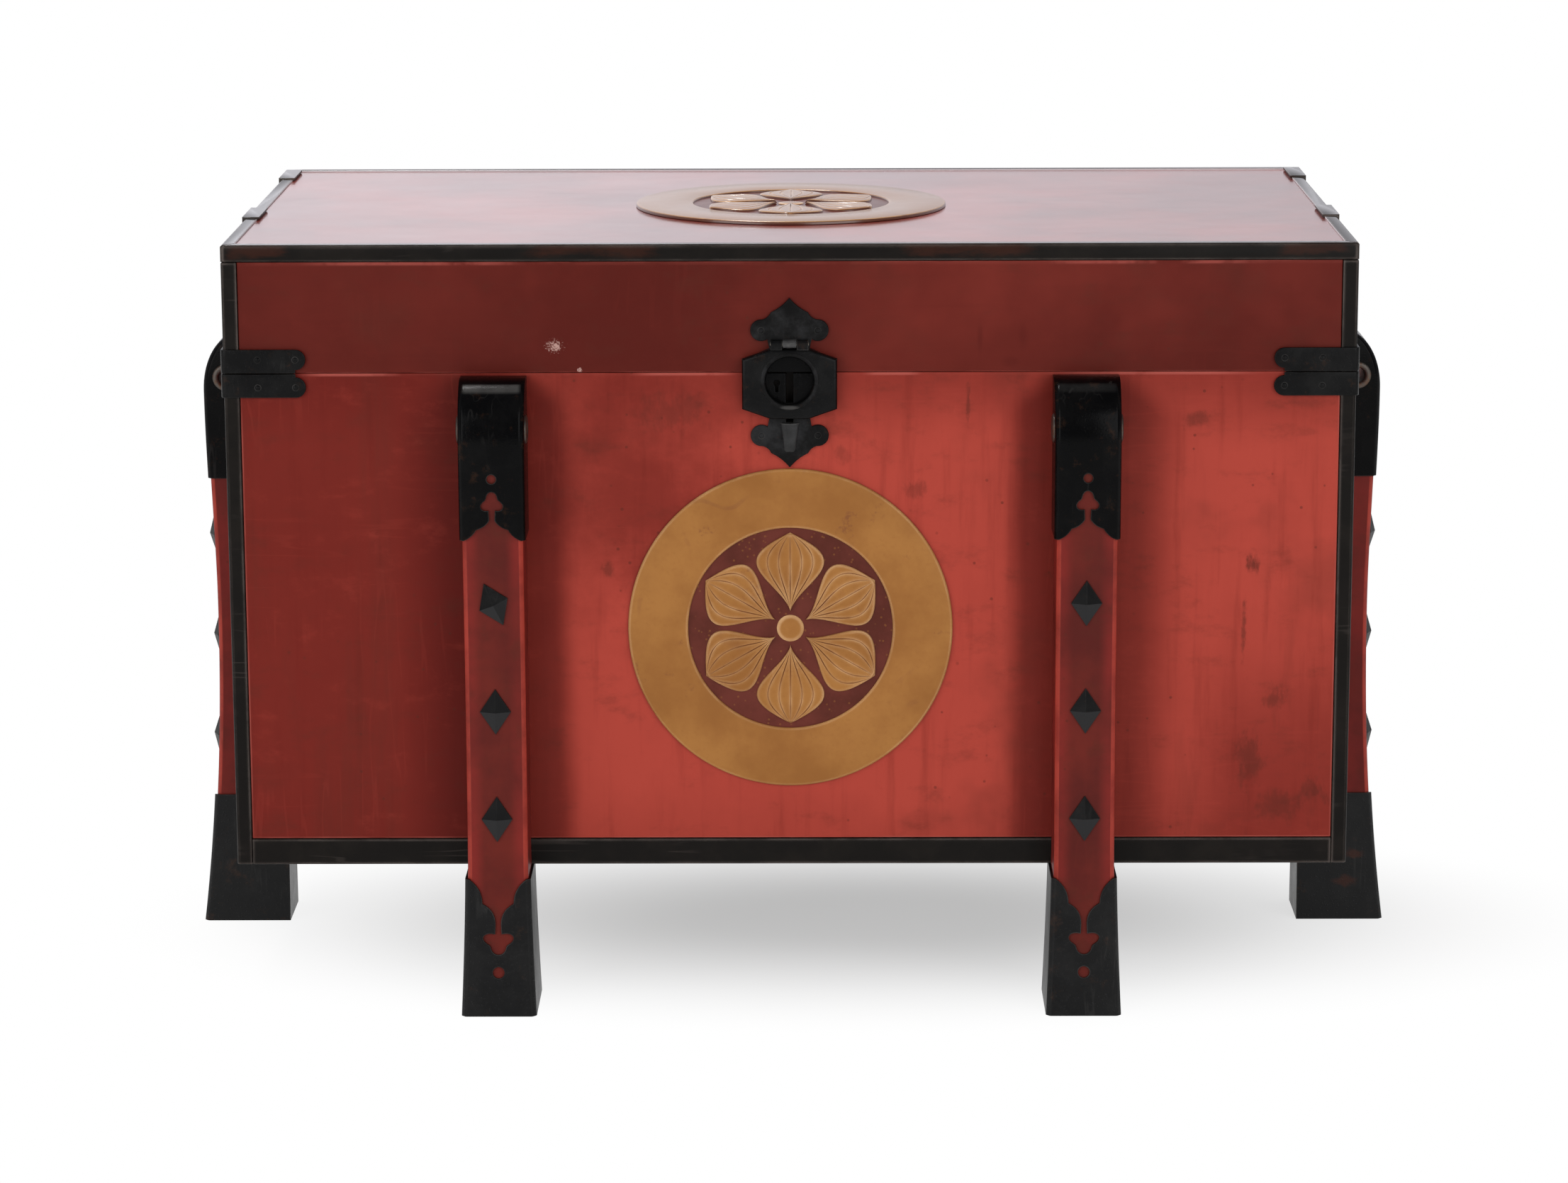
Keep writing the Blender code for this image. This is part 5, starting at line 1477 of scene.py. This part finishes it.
def add_bands(face, top, lip):
    """Strips round the lid's top edge: satin on their faces, polished on top, with a pale painted sheen on
    the inner lips.
    """
    for side in ("front", "back", "left", "right"):
        node = "lid_top_trim_" + side
        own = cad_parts[node].data
        item = add_piece("lid_band_" + side, own, IN_PLACE, face, "lid", [node], BAND_EDGE)
        item.data.materials.append(top)
        item.data.materials.append(lip)
        for polygon in item.data.polygons:
            normal, center = polygon.normal, polygon.center
            long_lip = normal.y * center.y < -TOP_FACING * TRIM_Y
            short_lip = normal.x * center.x < -TOP_FACING * TRIM_X and center.z < LID_TOP
            if normal.z > TOP_FACING:
                polygon.material_index = 1
            elif long_lip or short_lip:
                polygon.material_index = 2


def dress_frame(box, lid, lid_top, strips, inner, iron):
    """Finishes of the nodes that keep their own shape."""
    for side in ("front", "back", "left", "right"):
        dress(side + "_board", box, BOARD_EDGE)
        dress("lid_" + side + "_board", lid, BOARD_EDGE)
        dress("base_rail_" + side, strips, STRIP_EDGE)
    for corner in CORNERS:
        dress("corner_trim_" + corner, strips, STRIP_EDGE)
        dress("lid_corner_trim_" + corner, strips, STRIP_EDGE)
    dress("lid_top_board", lid_top)
    dress("bottom_board", inner, BOARD_EDGE)
    dress("lid_lip", inner, BOARD_EDGE)
    dress("hasp_pin", iron)
    dress("lock_bolt", iron)


def add_floor():
    """Wide white floor that keeps the soft shadow of the chest and fades to plain white around it."""
    material = bpy.data.materials.new("floor_white")
    material.use_nodes = True
    material.node_tree.nodes.clear()
    nodes = Nodes(material.node_tree)
    ray = nodes.node("LightPath").outputs
    seen = nodes.either(ray["Is Camera Ray"], ray["Is Glossy Ray"], ray["Is Transmission Ray"])
    place = nodes.node("TexCoord").outputs["Object"]
    inputs = {"Vector": place, "Location": SHADOW_PLACE, "Scale": SHADOW_REACH}
    squeezed = nodes.node("Mapping", inputs, vector_type="TEXTURE").outputs["Vector"]
    away = nodes.node("VectorMath", {0: squeezed}, operation="LENGTH").outputs["Value"]
    white = nodes.product(seen, nodes.band(away, *SHADOW_FADE))
    diffuse = nodes.node("BsdfDiffuse", {"Color": FLOOR}).outputs[0]
    glow = nodes.node("Emission", {"Strength": 1.0}).outputs[0]
    surface = nodes.node("MixShader", {0: white, 1: diffuse, 2: glow}).outputs[0]
    nodes.node("OutputMaterial", {"Surface": surface})

    half = FLOOR_HALF
    corners = [(-half, -half, 0), (half, -half, 0), (half, half, 0), (-half, half, 0)]
    shape = bmesh.new()
    shape.faces.new([shape.verts.new(corner) for corner in corners])
    mesh = mesh_from(shape, "floor", outward=False)
    mesh.materials.append(material)
    floor = new_object("floor", mesh)


def add_world():
    """White studio: full white to the eye, bright in reflections from the back, dimmer as light."""
    world = bpy.data.worlds.new("studio")
    bpy.context.scene.world = world
    world.use_nodes = True
    nodes = Nodes(world.node_tree)
    ray = nodes.node("LightPath").outputs
    direction = nodes.node("TexCoord").outputs["Generated"]
    x, y, _ = nodes.node("SeparateXYZ", {0: direction}).outputs
    reflected = nodes.product(nodes.band(y, *REFLECTED_DEPTH), nodes.band(x, *REFLECTED_ACROSS))
    seen = nodes.either(ray["Is Camera Ray"], ray["Is Transmission Ray"])
    unseen = nodes.flipped(seen)
    mirrored_ray = nodes.product(ray["Is Glossy Ray"], unseen)
    ambient = nodes.product(nodes.less(unseen, mirrored_ray), AMBIENT)
    background = world.node_tree.nodes["Background"].inputs
    nodes.feed(background["Strength"], nodes.total(seen, nodes.product(mirrored_ray, reflected), ambient))
    nodes.feed(background["Color"], nodes.blend(mirrored_ray, (1.0, 1.0, 1.0), REFLECTED_WHITE))


def add_lamps():
    for name, (place, aim, width, height, power) in LAMPS.items():
        data = bpy.data.lights.new(name, "AREA")
        data.shape = "RECTANGLE"
        data.size = width
        data.size_y = height
        data.energy = power
        lamp = new_object(name, data)
        lamp.location = place
        lamp.rotation_euler = (Vector(aim) - Vector(place)).to_track_quat("-Z", "Y").to_euler()
        lamp.visible_camera = False


def add_camera():
    """Camera at the photograph's angle, from its yaw, downward pitch and roll."""
    data = bpy.data.cameras.new("camera")
    data.sensor_width = CAMERA_SENSOR
    data.lens = CAMERA_LENS
    camera = new_object("camera", data)
    look = Matrix.Rotation(CAMERA_YAW, 4, "Z") @ Matrix.Rotation(math.pi / 2 - CAMERA_PITCH, 4, "X")
    camera.matrix_world = Matrix.Translation(CAMERA_PLACE) @ look @ Matrix.Rotation(CAMERA_ROLL, 4, "Z")
    bpy.context.scene.camera = camera


def main():
    bpy.context.scene.view_settings.view_transform = "Standard"
    add_camera()
    add_floor()
    add_world()
    add_lamps()

    soot, dust, grime = (IRON_BLACK, IRON_SOOT), (IRON_BLACK, IRON_DUSTY), (IRON_DUSTY, IRON_GREY)
    black = black_iron("black_iron", 0.12, dust, 0.6, (0.26, 0.44))
    cap_iron = black_iron("black_iron_cap", 0.065, soot, 0.5, (0.14, 0.26), 0.10, crown_highlight)
    shoe_iron = black_iron("black_iron_shoe", 0.20, dust, 0.6, (0.26, 0.46), 0.35, shoe_wear)
    stud_iron = black_iron("black_iron_stud", 0.10, dust, 0.3, (0.34, 0.50), 0.10, facet_reflection)
    plate_iron = black_iron("black_iron_plate", 0.06, grime, 0.6, (0.26, 0.44), 0.35, window_shade_and_lip_highlight)
    grey = black_iron("black_iron_rubbed", 0.30, grime, 0.8, (0.28, 0.45))
    # Lighter iron for the hinge knuckle, a painted highlight.
    bright = black_iron("black_iron_knuckle_highlight", 0.40, (IRON_GREY, IRON_RUBBED_AND_HIGHLIGHT), 0.8, (0.24, 0.40))
    iron = worn_iron("worn_iron", STEEL)
    eyelet_iron = worn_iron("worn_iron_eyelet", STEEL_DULL)
    strips = black_lacquer("black_lacquer_strips", DARK_SATIN, SATIN_ROUGH)
    band_face = black_lacquer("black_lacquer_band", DARK_SATIN, SATIN_ROUGH, BAND_WEAR)
    band_top = black_lacquer("black_lacquer_band_top", POLISH, POLISH_ROUGH)
    # Pale inner lips: a painted sheen over faces that lie in shade.
    band_lip_sheen = black_lacquer("black_lacquer_band_lip", SATIN, SATIN_ROUGH, (), (PALE_LIP_SHEEN, PALE_LIP_SHEEN), PALE_LIP_SHEEN)
    lid = lid_red("red_lacquer_lid", DARK_SATIN, RED_LID, RED_LID_FADED, SATIN_ROUGH)
    lid_top = lid_red("red_lacquer_lid_top", POLISH, RED_LID_FADED, RED_PALE, POLISH_ROUGH)
    dress_frame(box_red(), lid, lid_top, strips, inner_lacquer(), iron)
    add_bands(band_face, band_top, band_lip_sheen)
    add_legs(leg_red(), cap_iron, shoe_iron, stud_iron, eyelet_iron)
    add_brackets(black)
    add_lock(black, plate_iron, grey, bright)
    front_gilt = gilt("gilt_front", SATIN, (GILT_DEEP, GILT), SATIN_ROUGH)
    lid_gilt = gilt("gilt_lid", SOFT_POLISH, (GILT_DEEP, GILT_DULL), POLISH_ROUGH, 0.85)
    front_ground = crest_ground("gilt_ground_front", SATIN_ROUGH)
    lid_ground = crest_ground("gilt_ground_lid", POLISH_ROUGH)
    add_crests({"front": (front_gilt, front_ground), "lid": (lid_gilt, lid_ground)})


main()
